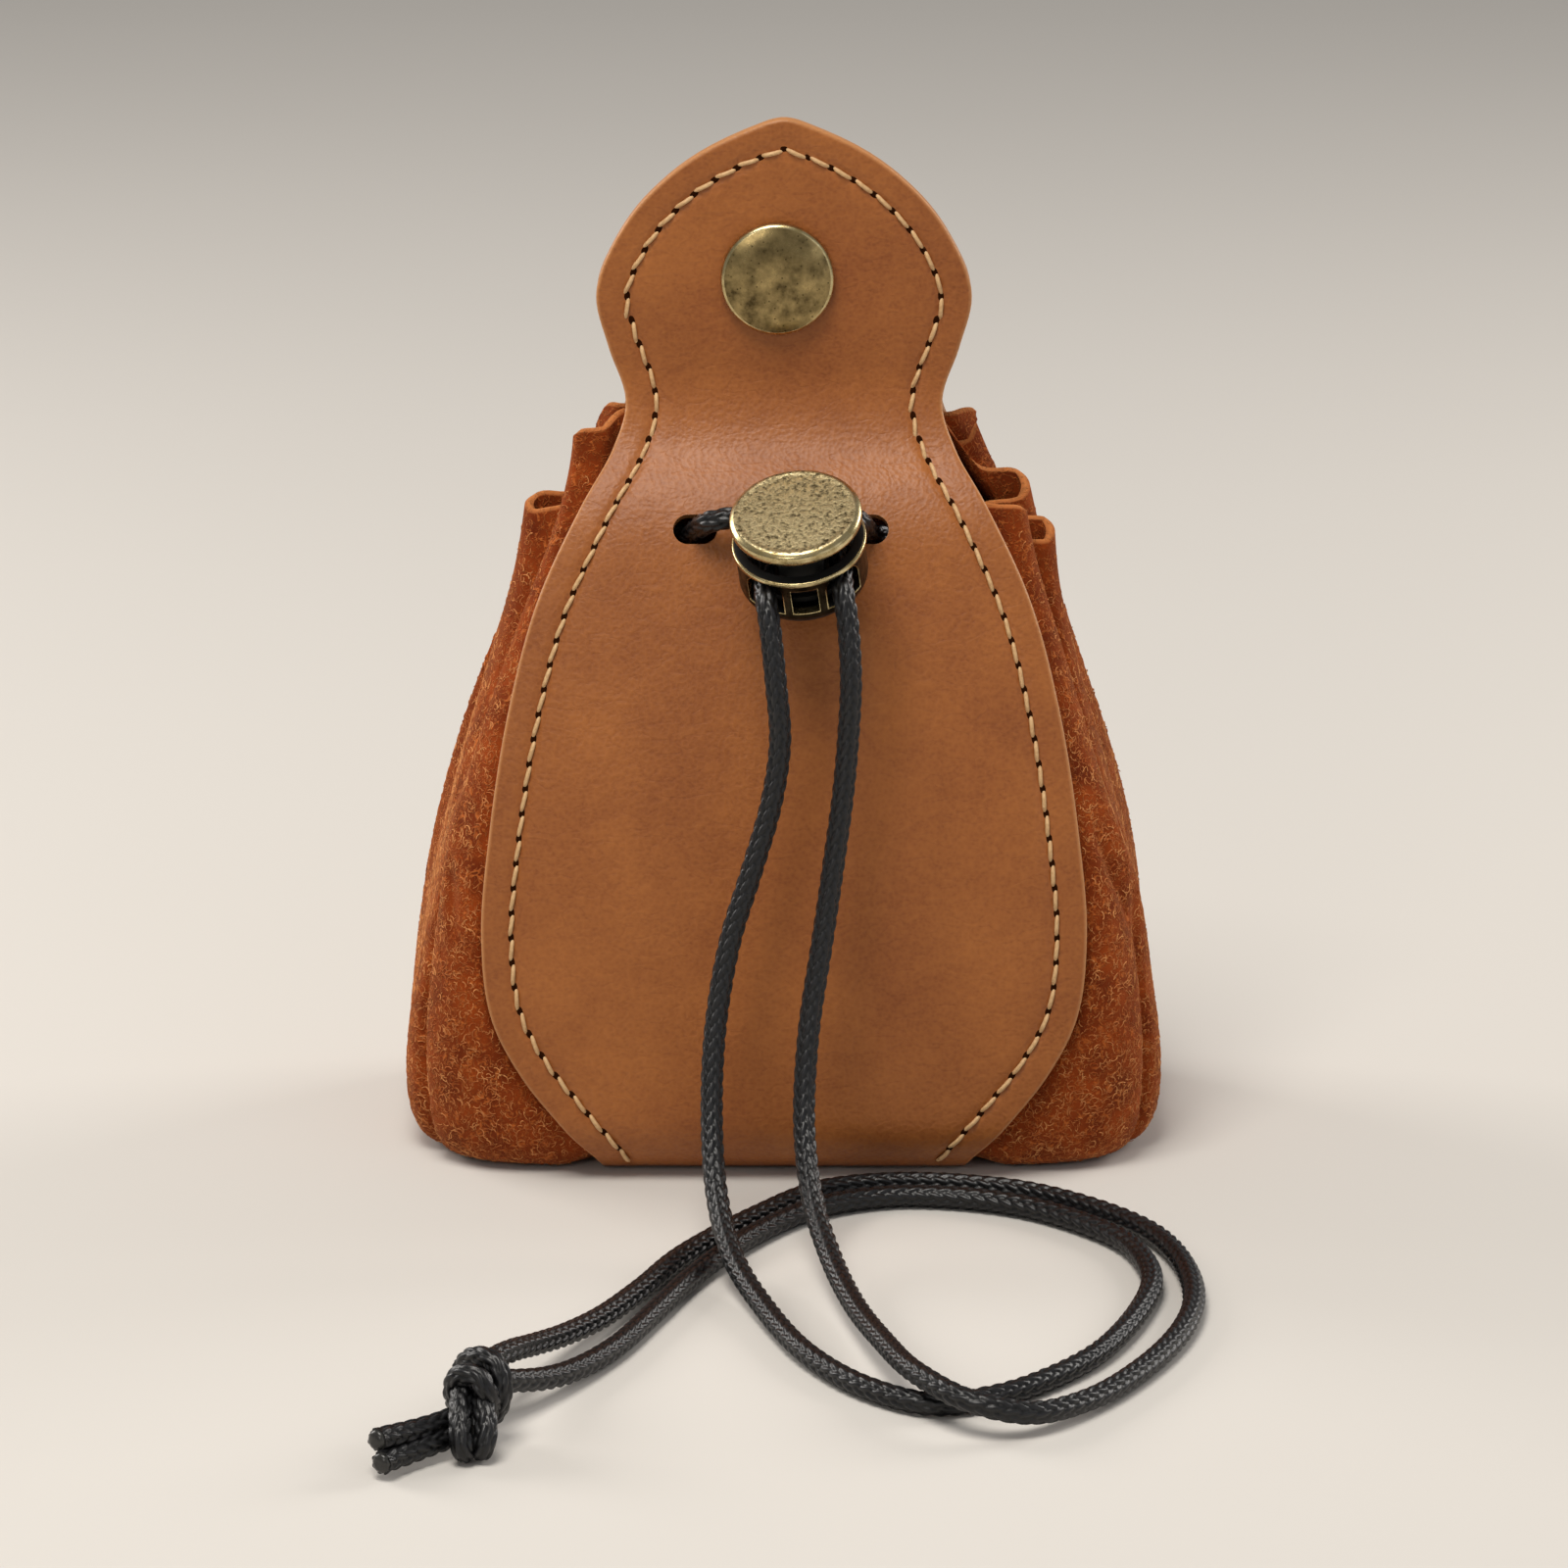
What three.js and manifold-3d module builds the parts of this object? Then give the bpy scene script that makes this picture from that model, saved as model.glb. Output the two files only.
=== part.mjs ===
// Drawstring dice bag. A strap of smooth leather is the front panel, runs under the bag and comes up the
// back, and its two heads are snapped together at the top. A gathered suede bag sits between the panels, and
// a cord lock holds the two ends of its drawstring, which lie in front of the bag and end in a knot.
// Millimetres, +Z up, front towards -Y, origin on the strap's underside at the middle of the base.

import * as THREE from "three";
import { mergeVertices } from "three/addons/utils/BufferGeometryUtils.js";
import Module from "manifold-3d";

const wasm = await Module();
wasm.setup();

// Leather strap
const STRAP_THICK = 2;
const STRAP_COLUMNS = 6;
const STITCH_INSET = 4;

// The strap's outer face in side view, from the middle of the base forward and up to the front head.
// Straight runs have a length, bends a radius and a turn in degrees, upward and back being positive.
const STRAP_RUNS = [
  { name: "base", straight: 19, steps: 1 },
  { name: "corner", radius: 9, turn: 90, steps: 5 },
  { name: "foot", straight: 5, steps: 1 },
  { name: "belly", radius: 200, turn: 20, steps: 7 },
  { name: "shoulder", radius: 26, turn: 28, steps: 4 },
  { name: "neck", radius: 16.7, turn: -48, steps: 5 },
  { name: "head", straight: 33, steps: 11 },
];

// Half width of the strap and how far its edges fall back, by the length along the outer face
const STRAP_SECTIONS = [
  { along: 0, half: 24.0, crown: 0 },
  { along: 19, half: 24.1, crown: 0 },
  { along: 25.8, half: 25.0, crown: 0 },
  { along: 31.5, half: 29.1, crown: 0.2 },
  { along: 38.3, half: 34.4, crown: 0.8 },
  { along: 46, half: 38.4, crown: 1.6 },
  { along: 57, half: 39.8, crown: 2.2 },
  { along: 71, half: 38.7, crown: 2.4 },
  { along: 88, half: 36.0, crown: 2.2 },
  { along: 102, half: 32.3, crown: 1.6 },
  { along: 115, half: 26.6, crown: 0.8 },
  { along: 124, half: 22.4, crown: 0.2 },
  { along: 130, half: 20.8, crown: 0 },
  { along: 137, half: 23.0, crown: 0 },
  { along: 144.4, half: 24.6, crown: 0 },
  { along: 152, half: 21.8, crown: 0 },
  { along: 158, half: 17.3, crown: 0 },
  { along: 163.5, half: 10.3, crown: 0 },
  { along: 166.9, half: 3.0, crown: 0 },
  { along: 167.65, half: 0.9, crown: 0 },
];

// Slots in the front panel for the drawstring
const SLOT_ALONG = 112;
const SLOT_LENGTH = 5.8;
const SLOT_HEIGHT = 4;
const SLOT_LEFT_X = -11.6;
const SLOT_RIGHT_X = 10.8;
const SLOT_CUT_INSIDE = 6;
const SLOT_CUT_OUTSIDE = 3;
const SUEDE_SLOT_MARGIN = 0.4;

// Suede bag
const SUEDE_THICK = 1.2;
const SEAT_GAP = 0.5;
const FOOT_HEIGHT = 9;
const BASE_ROUND = FOOT_HEIGHT - STRAP_THICK - SEAT_GAP;
const FRONT_RIM = 88;
const BACK_RIM = 95;
const PANEL_STEPS = 5;
const EDGE_CLEAR = 3;
const FOLD_FADE = 2;
const BOX_SIDE = 0.55;
const BOX_FRONT = 0.6;
const WALL_LEVELS = [0, 0.2, 0.4, 0.58, 0.72, 0.83, 0.92, 1];
const BASE_TUCKS = [45, 90];
const BASE_INNER_RING = 0.5;

// Half width of the bag before it is gathered, by share of the way from its foot to its rim
const BAG_SECTIONS = [
  { share: 0, half: 50.4 },
  { share: 0.25, half: 48.8 },
  { share: 0.5, half: 46.9 },
  { share: 0.75, half: 43 },
  { share: 1, half: 37.5 },
];

// Folds of the gathered rim, a row for each from front to back: how far it reaches from the middle, its
// depth, half its thickness, the height of its rim, and the place and height of the valley behind it
const RIGHT_FOLDS = [
  { reach: 31.7, depth: -8.4, half: 1.6, top: 88, valley: 24.5, valleyDepth: -6.7, valleyTop: 85 },
  { reach: 35.6, depth: -4.9, half: 1.6, top: 83.4, valley: 23.5, valleyDepth: -3.1, valleyTop: 85.5 },
  { reach: 32.3, depth: -1.2, half: 1.7, top: 88.4, valley: 22.2, valleyDepth: 0.8, valleyTop: 92 },
  { reach: 25.9, depth: 2.5, half: 1.4, top: 97 },
];
const LEFT_FOLDS = [
  { reach: 34.5, depth: -8.3, half: 1.6, top: 89.4, valley: 24.5, valleyDepth: -6.7, valleyTop: 86.5 },
  { reach: 32.5, depth: -4.9, half: 1.6, top: 86, valley: 23.5, valleyDepth: -3.1, valleyTop: 89 },
  { reach: 28.5, depth: -1.2, half: 1.7, top: 95, valley: 21.8, valleyDepth: 0.8, valleyTop: 94.5 },
  { reach: 24.3, depth: 2.5, half: 1.4, top: 97 },
];

// How far the rim has climbed from a valley to a fold, midway along its flank and where the bend starts
const FLANK_MIDWAY = 0.5;
const FLANK_CLIMB = 0.6;
const BEND_CLIMB = 0.9;

// Snap fastener
const SNAP_X = -0.85;
const SNAP_HEIGHT = 117.2;
const SNAP_SIDES = 24;
const SNAP_CAP_RADIUS = 7.45;
const POST_RADIUS = 2;
const POST_HOLE_RADIUS = 2.35;
const POST_COLLAR_RADIUS = 5;
const POST_PLATE_RADIUS = 6;
const POST_PLATE_THICK = 1.1;
const POST_PLATE_ROUND = 0.4;
const FACE_GAP = 0.3;

// The snap's cap from its back rim to the middle of its dome: inset from its radius, and height
const SNAP_CAP_PROFILE = [
  { inset: 0.4, height: 0 },
  { inset: 0, height: 0.45 },
  { inset: 0, height: 1 },
  { inset: 0.5, height: 1.6 },
  { inset: 2.2, height: 2 },
  { inset: SNAP_CAP_RADIUS, height: 2.2 },
];

// Cord lock, measured down its axis from the top of the button
const LOCK_TOP = new THREE.Vector3(1.4, -28.5, 92.2);
const LOCK_TILT = 27;
const LOCK_ROLL = -7;
const LOCK_SIDES = 24;
const BUTTON_RADIUS = 8.6;
const BUTTON_THICK = 1.9;
const BUTTON_ROUND = 0.6;
const STEM_RADIUS = 6.6;
const STEM_BOTTOM = -3.5;
const WEB_HALF = 2.9;
const FOOT_RADIUS = 6.2;
const FOOT_TOP = -9.3;
const FOOT_BOTTOM = -10.1;
const BARREL_TOP = -4.7;
const BARREL_RING = 0.7;
const BARREL_RING_RADIUS = 8.75;
const BARREL_RADIUS = 8.4;
const BARREL_BORE = 7.1;
const BARREL_FLOOR = -12.4;
const BARREL_BOTTOM = -13.1;
const BARREL_FOOT_RADIUS = 6.6;
const BARREL_CHAMFER = 1.8;
const CORD_HEIGHT = -7.4;
const CORD_SPREAD = 5;
const WINDOW_RADIUS = 2.15;
const WINDOW_SILL = -10.2;
const FRONT_SLOT_HALF = 1.7;
const FRONT_SLOT_TOP = -6.4;

// Drawstring
const CORD_RADIUS = 1.5;
const CORD_SIDES = 8;
const LOOP_STEPS = 46;
const TAIL_STEPS = 40;
const LOCK_MOUTH = 6.75;
const LEAD_OUT = 1.6;
const LEAD_IN = 3;

// The drawstring inside the mouth, from the left slot round the back to the right slot
const LOOP_ROUTE = [
  [-9.6, -17.4, 87.9],
  [-10.8, -15.2, 86.7],
  [-11.5, -13.4, 85.7],
  [-12.3, -11.2, 84.45],
  [-14.0, -8.4, 83.6],
  [-16.4, -3.6, 83.4],
  [-16.2, 2.4, 83.4],
  [-11.5, 6.8, 83.4],
  [0, 7.8, 83.4],
  [11.5, 6.8, 83.4],
  [16.2, 2.4, 83.4],
  [16.2, -3.6, 83.4],
  [13.3, -8.4, 83.6],
  [11.5, -11.2, 84.45],
  [10.8, -13.4, 85.7],
  [10.5, -15.2, 86.7],
  [9.8, -17.4, 87.9],
];

// The two tails below the lock: down in front of the panel, then along the floor to the knot
const LEFT_TAIL = [
  [-1.8, -34.2, 78.4],
  [-1.0, -36.2, 71],
  [-0.5, -36.9, 64],
  [-1.6, -37.8, 56],
  [-4.2, -39.2, 47],
  [-7.0, -41.0, 38],
  [-8.9, -44.2, 27],
  [-9.3, -49.2, 16.2],
  [-8.6, -56.0, 8.8],
  [-6.6, -65.5, 4.2],
  [-2.8, -77.5, 2.1],
  [3.4, -94.5, 1.6],
  [10.6, -105.3, 1.6],
  [18.2, -110.2, 1.6],
  [25.9, -107.6, 1.6],
  [32.2, -102.2, 1.6],
  [39.0, -93.0, 1.6],
  [45.0, -77.5, 1.6],
  [46.8, -66.6, 1.6],
  [44.6, -55.2, 1.6],
  [40.2, -48.4, 1.6],
  [32.0, -41.0, 1.6],
  [23.1, -37.4, 1.6],
  [14.1, -36.8, 1.6],
  [5.1, -40.5, 1.6],
  [-3.8, -50.4, 1.6],
  [-12.0, -65.5, 1.6],
  [-16.5, -77.1, 1.6],
  [-20.8, -88.4, 1.6],
  [-25.6, -98.0, 1.6],
];
const RIGHT_TAIL = [
  [8.2, -34.2, 78.9],
  [8.6, -36.2, 72],
  [8.3, -36.9, 65],
  [7.6, -37.8, 57],
  [6.4, -39.0, 48],
  [5.0, -40.9, 38.5],
  [3.2, -44.2, 27],
  [2.6, -49.2, 16.2],
  [3.6, -56.8, 8.9],
  [5.8, -67.0, 4.9],
  [8.6, -80.0, 3.4],
  [12.2, -95.0, 4.0],
  [16.4, -109.0, 5.0],
  [22.5, -116.8, 4.6],
  [29.6, -116.6, 3.0],
  [37.2, -109.4, 1.9],
  [44.2, -98.4, 1.6],
  [49.5, -86.0, 1.6],
  [51.8, -74.0, 1.6],
  [50.9, -60.6, 1.6],
  [47.6, -50.6, 1.6],
  [41.4, -42.4, 1.6],
  [32.2, -35.2, 1.6],
  [23.2, -32.2, 1.6],
  [14.2, -31.6, 1.6],
  [5.1, -34.4, 1.6],
  [-3.8, -44.0, 1.6],
  [-12.6, -57.5, 1.6],
  [-18.4, -69.5, 1.6],
  [-23.7, -80.0, 1.7],
  [-28.2, -91.5, 2.9],
];

// The pulled overhand knot as one plain lump, a row for each section from where the two cords come in to
// their cut ends: its middle measured from the knot's place on the floor, half its width and half its height
const KNOT_PLACE = new THREE.Vector3(-36.8, -112, 0.15);
const KNOT_SECTIONS = [
  { middle: [6.4, 8.6, 3.5], half: 1.5, rise: 3.3 },
  { middle: [3.4, 4.6, 4.1], half: 1.7, rise: 3.3 },
  { middle: [2.2, 2.9, 4.7], half: 3.6, rise: 4.2 },
  { middle: [0.2, 0.4, 5.1], half: 5.3, rise: 4.9 },
  { middle: [-1.0, -2.6, 4.9], half: 5.6, rise: 4.7 },
  { middle: [-2.4, -6.0, 3.9], half: 5.2, rise: 3.7 },
  { middle: [-4.8, -8.8, 3.1], half: 3.6, rise: 3.0 },
  { middle: [-7.8, -10.8, 2.9], half: 1.7, rise: 2.8 },
  { middle: [-8.8, -12.4, 2.9], half: 1.5, rise: 2.8 },
  { middle: [-11.2, -16.8, 2.8], half: 1.5, rise: 2.7 },
];
const KNOT_SIDES = 12;
const KNOT_APART = 1.8;

const ARC_STEPS = 8;
const WELD = 1e-4;
const END_GAP = 0.35;

/** Read a table of named columns as a smooth curve: give one column's value at a place in another. */
function smoothColumn(rows, place, column) {
  const places = rows.map((row) => row[place]);
  const values = rows.map((row) => row[column]);
  const curve = new THREE.CubicInterpolant(places, values, 1);
  return (at) => curve.evaluate(at)[0];
}

/** Keep positions alone, join shared vertices and drop the empty triangles that leaves. */
function welded(geometry) {
  const bare = new THREE.BufferGeometry();
  bare.setAttribute("position", geometry.getAttribute("position"));
  bare.setIndex(geometry.index);
  const joined = mergeVertices(bare, WELD);
  const corners = joined.index.array;
  const kept = [];
  for (let i = 0; i < corners.length; i += 3) {
    const [a, b, c] = corners.slice(i, i + 3);
    if (a !== b && b !== c && c !== a) kept.push(a, b, c);
  }
  joined.setIndex(kept);
  return joined;
}

/** A closed geometry as a solid that can be joined and cut. */
function solidOf(geometry) {
  const joined = welded(geometry);
  const vertProperties = Float32Array.from(joined.getAttribute("position").array);
  const triVerts = Uint32Array.from(joined.index.array);
  return new wasm.Manifold(new wasm.Mesh({ numProp: 3, vertProperties, triVerts }));
}

/** A joined or cut solid as a geometry again. */
function geometryOf(solid) {
  const { vertProperties, triVerts } = solid.getMesh();
  const geometry = new THREE.BufferGeometry();
  geometry.setAttribute("position", new THREE.BufferAttribute(vertProperties, 3));
  geometry.setIndex(new THREE.BufferAttribute(triVerts, 1));
  geometry.computeVertexNormals();
  return geometry;
}

/** Cut a list of geometries from one. */
function cut(geometry, tools) {
  return geometryOf(tools.reduce((solid, tool) => solid.subtract(solidOf(tool)), solidOf(geometry)));
}

/** Skin a row of rings with the same number of points, and close both ends with a fan. */
function loft(rings) {
  const sides = rings[0].length;
  const points = rings.flat();
  const faces = [];
  rings.slice(1).forEach((_, row) => {
    for (let side = 0; side < sides; side++) {
      const here = row * sides + side;
      const next = row * sides + ((side + 1) % sides);
      faces.push(here, next, next + sides, here, next + sides, here + sides);
    }
  });
  [0, rings.length - 1].forEach((row) => {
    const middle = new THREE.Vector3();
    rings[row].forEach((point) => middle.addScaledVector(point, 1 / sides));
    points.push(middle);
    for (let side = 0; side < sides; side++) {
      const here = row * sides + side;
      const next = row * sides + ((side + 1) % sides);
      faces.push(points.length - 1, row ? here : next, row ? next : here);
    }
  });
  const geometry = new THREE.BufferGeometry().setFromPoints(points);
  geometry.setIndex(faces);
  geometry.computeVertexNormals();
  return geometry;
}

/** Turn a profile of [radius, height] pairs, from the bottom up, about +Z. */
function turned(profile, sides) {
  const points = profile.map(([radius, height]) => new THREE.Vector2(radius, height));
  return new THREE.LatheGeometry(points, sides).rotateX(Math.PI / 2);
}

/** A block between two corners. */
function block(low, high) {
  const size = high.map((value, axis) => value - low[axis]);
  const middle = high.map((value, axis) => (value + low[axis]) / 2);
  return new THREE.BoxGeometry(...size).translate(...middle);
}

/** A round cord along a smooth route. */
function cord(route, steps) {
  const section = new THREE.Shape();
  for (let side = 0; side < CORD_SIDES; side++) {
    const turn = (2 * Math.PI * side) / CORD_SIDES;
    const [x, y] = [CORD_RADIUS * Math.cos(turn), CORD_RADIUS * Math.sin(turn)];
    if (side) section.lineTo(x, y);
    else section.moveTo(x, y);
  }
  section.closePath();
  const extrudePath = new THREE.CatmullRomCurve3(route, false, "centripetal");
  return new THREE.ExtrudeGeometry(section, { extrudePath, steps });
}

/** A named mesh with its own material. */
function piece(name, geometry, finish) {
  const mesh = new THREE.Mesh(geometry, new THREE.MeshStandardMaterial(finish));
  mesh.name = name;
  return mesh;
}

const toVectors = (rows) => rows.map((row) => new THREE.Vector3(...row));
const radians = THREE.MathUtils.degToRad;
const mix = THREE.MathUtils.lerp;

// Strap

const strapHalf = smoothColumn(STRAP_SECTIONS, "along", "half");
const strapCrown = smoothColumn(STRAP_SECTIONS, "along", "crown");
const runLength = (run) => run.straight ?? run.radius * Math.abs(radians(run.turn));
const STRAP_LENGTH = STRAP_RUNS.reduce((sum, run) => sum + runLength(run), 0);

/** Depth, height and heading of the strap's outer face at a length along its front half. */
function strapAt(along) {
  let [y, z, heading, left] = [0, 0, 0, along];
  for (const run of STRAP_RUNS) {
    const length = Math.min(left, runLength(run));
    left -= length;
    if (run.straight) {
      y -= length * Math.cos(heading);
      z += length * Math.sin(heading);
    } else {
      const bend = Math.sign(run.turn) * run.radius;
      const next = heading + length / bend;
      y -= bend * (Math.sin(next) - Math.sin(heading));
      z += bend * (Math.cos(heading) - Math.cos(next));
      heading = next;
    }
  }
  return { y, z, heading };
}

/** Length along the strap at which its outer face reaches a height. */
function strapAlongAt(height) {
  let [low, high] = [STRAP_RUNS[0].straight, STRAP_LENGTH];
  while (high - low > WELD) {
    const middle = (low + high) / 2;
    if (strapAt(middle).z < height) low = middle;
    else high = middle;
  }
  return low;
}

/** The strap's cross-section at a length along it, the back half being negative. */
function strapRing(along) {
  const back = along < 0 ? -1 : 1;
  const { y, z, heading } = strapAt(Math.abs(along));
  const half = strapHalf(Math.abs(along));
  const crown = strapCrown(Math.abs(along));
  const face = (inset, columns) =>
    columns.map((column) => {
      const across = (2 * column) / STRAP_COLUMNS - 1;
      const depth = y + crown * across ** 2 + inset * Math.sin(heading);
      return new THREE.Vector3(half * across, back * depth, z + inset * Math.cos(heading));
    });
  const columns = [...Array(STRAP_COLUMNS + 1).keys()];
  return [...face(0, columns), ...face(STRAP_THICK, [...columns].reverse())];
}

/** A slot through the front panel or the suede behind it, square to the panel. */
function drawstringSlot(x, margin = 0) {
  const { y, z, heading } = strapAt(SLOT_ALONG);
  const round = SLOT_HEIGHT / 2 + margin;
  const straight = (SLOT_LENGTH - SLOT_HEIGHT) / 2;
  const outline = new THREE.Shape();
  outline.absarc(straight, 0, round, -Math.PI / 2, Math.PI / 2);
  outline.absarc(-straight, 0, round, Math.PI / 2, (3 * Math.PI) / 2);
  const depth = SLOT_CUT_INSIDE + SLOT_CUT_OUTSIDE;
  const slot = new THREE.ExtrudeGeometry(outline, { depth, bevelEnabled: false, curveSegments: ARC_STEPS });
  const place = new THREE.Matrix4().makeBasis(
    new THREE.Vector3(1, 0, 0),
    new THREE.Vector3(0, -Math.cos(heading), Math.sin(heading)),
    new THREE.Vector3(0, -Math.sin(heading), -Math.cos(heading)),
  );
  place.setPosition(x, y, z);
  return slot.translate(0, 0, -SLOT_CUT_INSIDE).applyMatrix4(place);
}

/** A hole for the snap's post through both heads. */
function postHole() {
  const reach = -2 * strapAt(STRAP_LENGTH).y;
  const hole = new THREE.CylinderGeometry(POST_HOLE_RADIUS, POST_HOLE_RADIUS, 2 * reach, SNAP_SIDES);
  return hole.translate(SNAP_X, 0, SNAP_HEIGHT);
}

function makeStrap() {
  const stations = [0];
  for (const run of STRAP_RUNS) {
    const start = stations.at(-1);
    for (let step = 1; step <= run.steps; step++) stations.push(start + (runLength(run) * step) / run.steps);
  }
  const back = stations.slice(1).reverse().map((along) => -along);
  const leather = loft([...back, ...stations].map(strapRing));
  return cut(leather, [drawstringSlot(SLOT_LEFT_X), drawstringSlot(SLOT_RIGHT_X), postHole()]);
}

// Suede bag

const bagHalf = smoothColumn(BAG_SECTIONS, "share", "half");

/** Depth from the middle to the inside of either panel, less the seating gap, at a place on the bag. */
function roomAt(x, height) {
  const along = strapAlongAt(height);
  const { y, heading } = strapAt(along);
  const across = Math.min(Math.abs(x) / strapHalf(along), 1);
  return -y - strapCrown(along) * across ** 2 - (STRAP_THICK + SEAT_GAP) / Math.sin(heading);
}

/** Half width of the stretch of suede that lies flat behind a panel. */
const seamAt = (height) => strapHalf(strapAlongAt(height)) - STITCH_INSET;

/** The gathered rim of one side in plan, from the front seam to the back seam, with each point's height. */
function gatheredRim(folds) {
  const rim = [{ x: seamAt(FRONT_RIM), y: -roomAt(seamAt(FRONT_RIM), FRONT_RIM), top: FRONT_RIM }];
  const backSeam = { x: seamAt(BACK_RIM), y: roomAt(seamAt(BACK_RIM), BACK_RIM), top: BACK_RIM };
  for (const { reach, depth, half, top, valley, valleyDepth, valleyTop } of folds) {
    const before = rim.at(-1);
    const after = valley ? { x: valley, y: valleyDepth, top: valleyTop } : backSeam;
    const root = reach - half;
    const bend = half * Math.SQRT1_2;
    rim.push(
      { x: mix(before.x, root, FLANK_MIDWAY), y: depth - half, top: mix(before.top, top, FLANK_CLIMB) },
      { x: root, y: depth - half, top: mix(before.top, top, BEND_CLIMB) },
      { x: root + bend, y: depth - bend, top },
      { x: reach, y: depth, top },
      { x: root + bend, y: depth + bend, top },
      { x: root, y: depth + half, top: mix(after.top, top, BEND_CLIMB) },
      { x: mix(after.x, root, FLANK_MIDWAY), y: depth + half, top: mix(after.top, top, FLANK_CLIMB) },
      after,
    );
  }
  return rim;
}

/** One side of the bag at a share of its height, the folds growing out of a plain boxy side. */
function sideAt(share, rim, mirror) {
  const gathered = share ** FOLD_FADE;
  const last = rim.length - 1;
  return rim.map(({ x, y, top }, column) => {
    const height = mix(FOOT_HEIGHT, top, share);
    const seam = seamAt(height);
    const room = roomAt(seam, height);
    if (column === 0) return new THREE.Vector3(mirror * seam, -room, height);
    if (column === last) return new THREE.Vector3(mirror * seam, room, height);
    const turn = (Math.PI * column) / last;
    const plainX = mix(seam, bagHalf(share), Math.sin(turn) ** BOX_SIDE);
    const plainY = -room * Math.sign(Math.cos(turn)) * Math.abs(Math.cos(turn)) ** BOX_FRONT;
    const foldX = mix(plainX, x, gathered);
    const limit = foldX < seam + STITCH_INSET + EDGE_CLEAR ? roomAt(foldX, height) : Infinity;
    const foldY = THREE.MathUtils.clamp(mix(plainY, y, gathered), -limit, limit);
    return new THREE.Vector3(mirror * foldX, foldY, height);
  });
}

/** The flat stretch behind one panel at a share of the bag's height, left to right, without its seams. */
function panelAt(share, rimHeight, back) {
  const height = mix(FOOT_HEIGHT, rimHeight, share);
  const seam = seamAt(height);
  return [...Array(PANEL_STEPS - 1).keys()].map((step) => {
    const x = seam * ((2 * (step + 1)) / PANEL_STEPS - 1);
    return new THREE.Vector3(x, back * roomAt(x, height), height);
  });
}

/** The bag's outer face at a share of its height, anticlockwise from above. */
function wallRing(share) {
  return [
    ...panelAt(share, FRONT_RIM, -1),
    ...sideAt(share, RIGHT_RIM, 1),
    ...panelAt(share, BACK_RIM, 1).reverse(),
    ...sideAt(share, LEFT_RIM, -1).reverse(),
  ];
}

/** A ring of the rounded base: the foot drawn in and down by an angle of tuck. */
function baseRing(tuck) {
  const inset = BASE_ROUND * (1 - Math.cos(tuck));
  const shrinkX = 1 - inset / bagHalf(0);
  const shrinkY = 1 - inset / roomAt(0, FOOT_HEIGHT);
  const height = FOOT_HEIGHT - BASE_ROUND * Math.sin(tuck);
  return wallRing(0).map(({ x, y }) => new THREE.Vector3(x * shrinkX, y * shrinkY, height));
}

/** The inner face of a ring: each point moved in by the suede's thickness, and up where the base turns in. */
function lined(ring, tuck) {
  return ring.map((point, column) => {
    const before = ring.at(column - 1);
    const after = ring[(column + 1) % ring.length];
    const inward = new THREE.Vector3(before.y - after.y, after.x - before.x, 0).setLength(Math.cos(tuck));
    inward.z = Math.sin(tuck);
    return point.clone().addScaledVector(inward, SUEDE_THICK);
  });
}

function makeSuedeBody() {
  const flat = baseRing(Math.PI / 2).map(({ x, y, z }) => {
    return new THREE.Vector3(x * BASE_INNER_RING, y * BASE_INNER_RING, z);
  });
  const levels = [
    { ring: flat, tuck: Math.PI / 2 },
    ...BASE_TUCKS.toReversed().map(radians).map((tuck) => ({ ring: baseRing(tuck), tuck })),
    ...WALL_LEVELS.map((share) => ({ ring: wallRing(share), tuck: 0 })),
  ];
  const outside = levels.map(({ ring }) => ring);
  const inside = levels.map(({ ring, tuck }) => lined(ring, tuck)).reverse();
  const bag = loft([...outside, ...inside]);
  return cut(bag, [SLOT_LEFT_X, SLOT_RIGHT_X].map((x) => drawstringSlot(x, SUEDE_SLOT_MARGIN)));
}

const RIGHT_RIM = gatheredRim(RIGHT_FOLDS);
const LEFT_RIM = gatheredRim(LEFT_FOLDS);

// Snap fastener, turned about the line through both heads

const headFace = -strapAt(STRAP_LENGTH).y;

/** The domed cap, from its flat back outward. */
function makeSnapCap() {
  const dome = SNAP_CAP_PROFILE.map(({ inset, height }) => [SNAP_CAP_RADIUS - inset, height]);
  return turned([[0, 0], ...dome], SNAP_SIDES);
}

/** The plain post: a plate behind the back head, a collar between the heads and a pin up to the cap. */
function makeSnapPost() {
  const inner = headFace - STRAP_THICK - FACE_GAP;
  const plate = headFace + FACE_GAP;
  return turned([
    [0, -plate - POST_PLATE_THICK],
    [POST_PLATE_RADIUS - POST_PLATE_ROUND, -plate - POST_PLATE_THICK],
    [POST_PLATE_RADIUS, -plate - POST_PLATE_THICK + POST_PLATE_ROUND],
    [POST_PLATE_RADIUS, -plate],
    [POST_RADIUS, -plate],
    [POST_RADIUS, -inner],
    [POST_COLLAR_RADIUS, -inner],
    [POST_COLLAR_RADIUS, inner],
    [POST_RADIUS, inner],
    [POST_RADIUS, headFace],
    [0, headFace],
  ], SNAP_SIDES);
}

// Cord lock, in its own frame: +Z up its axis, cords along Y

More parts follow.
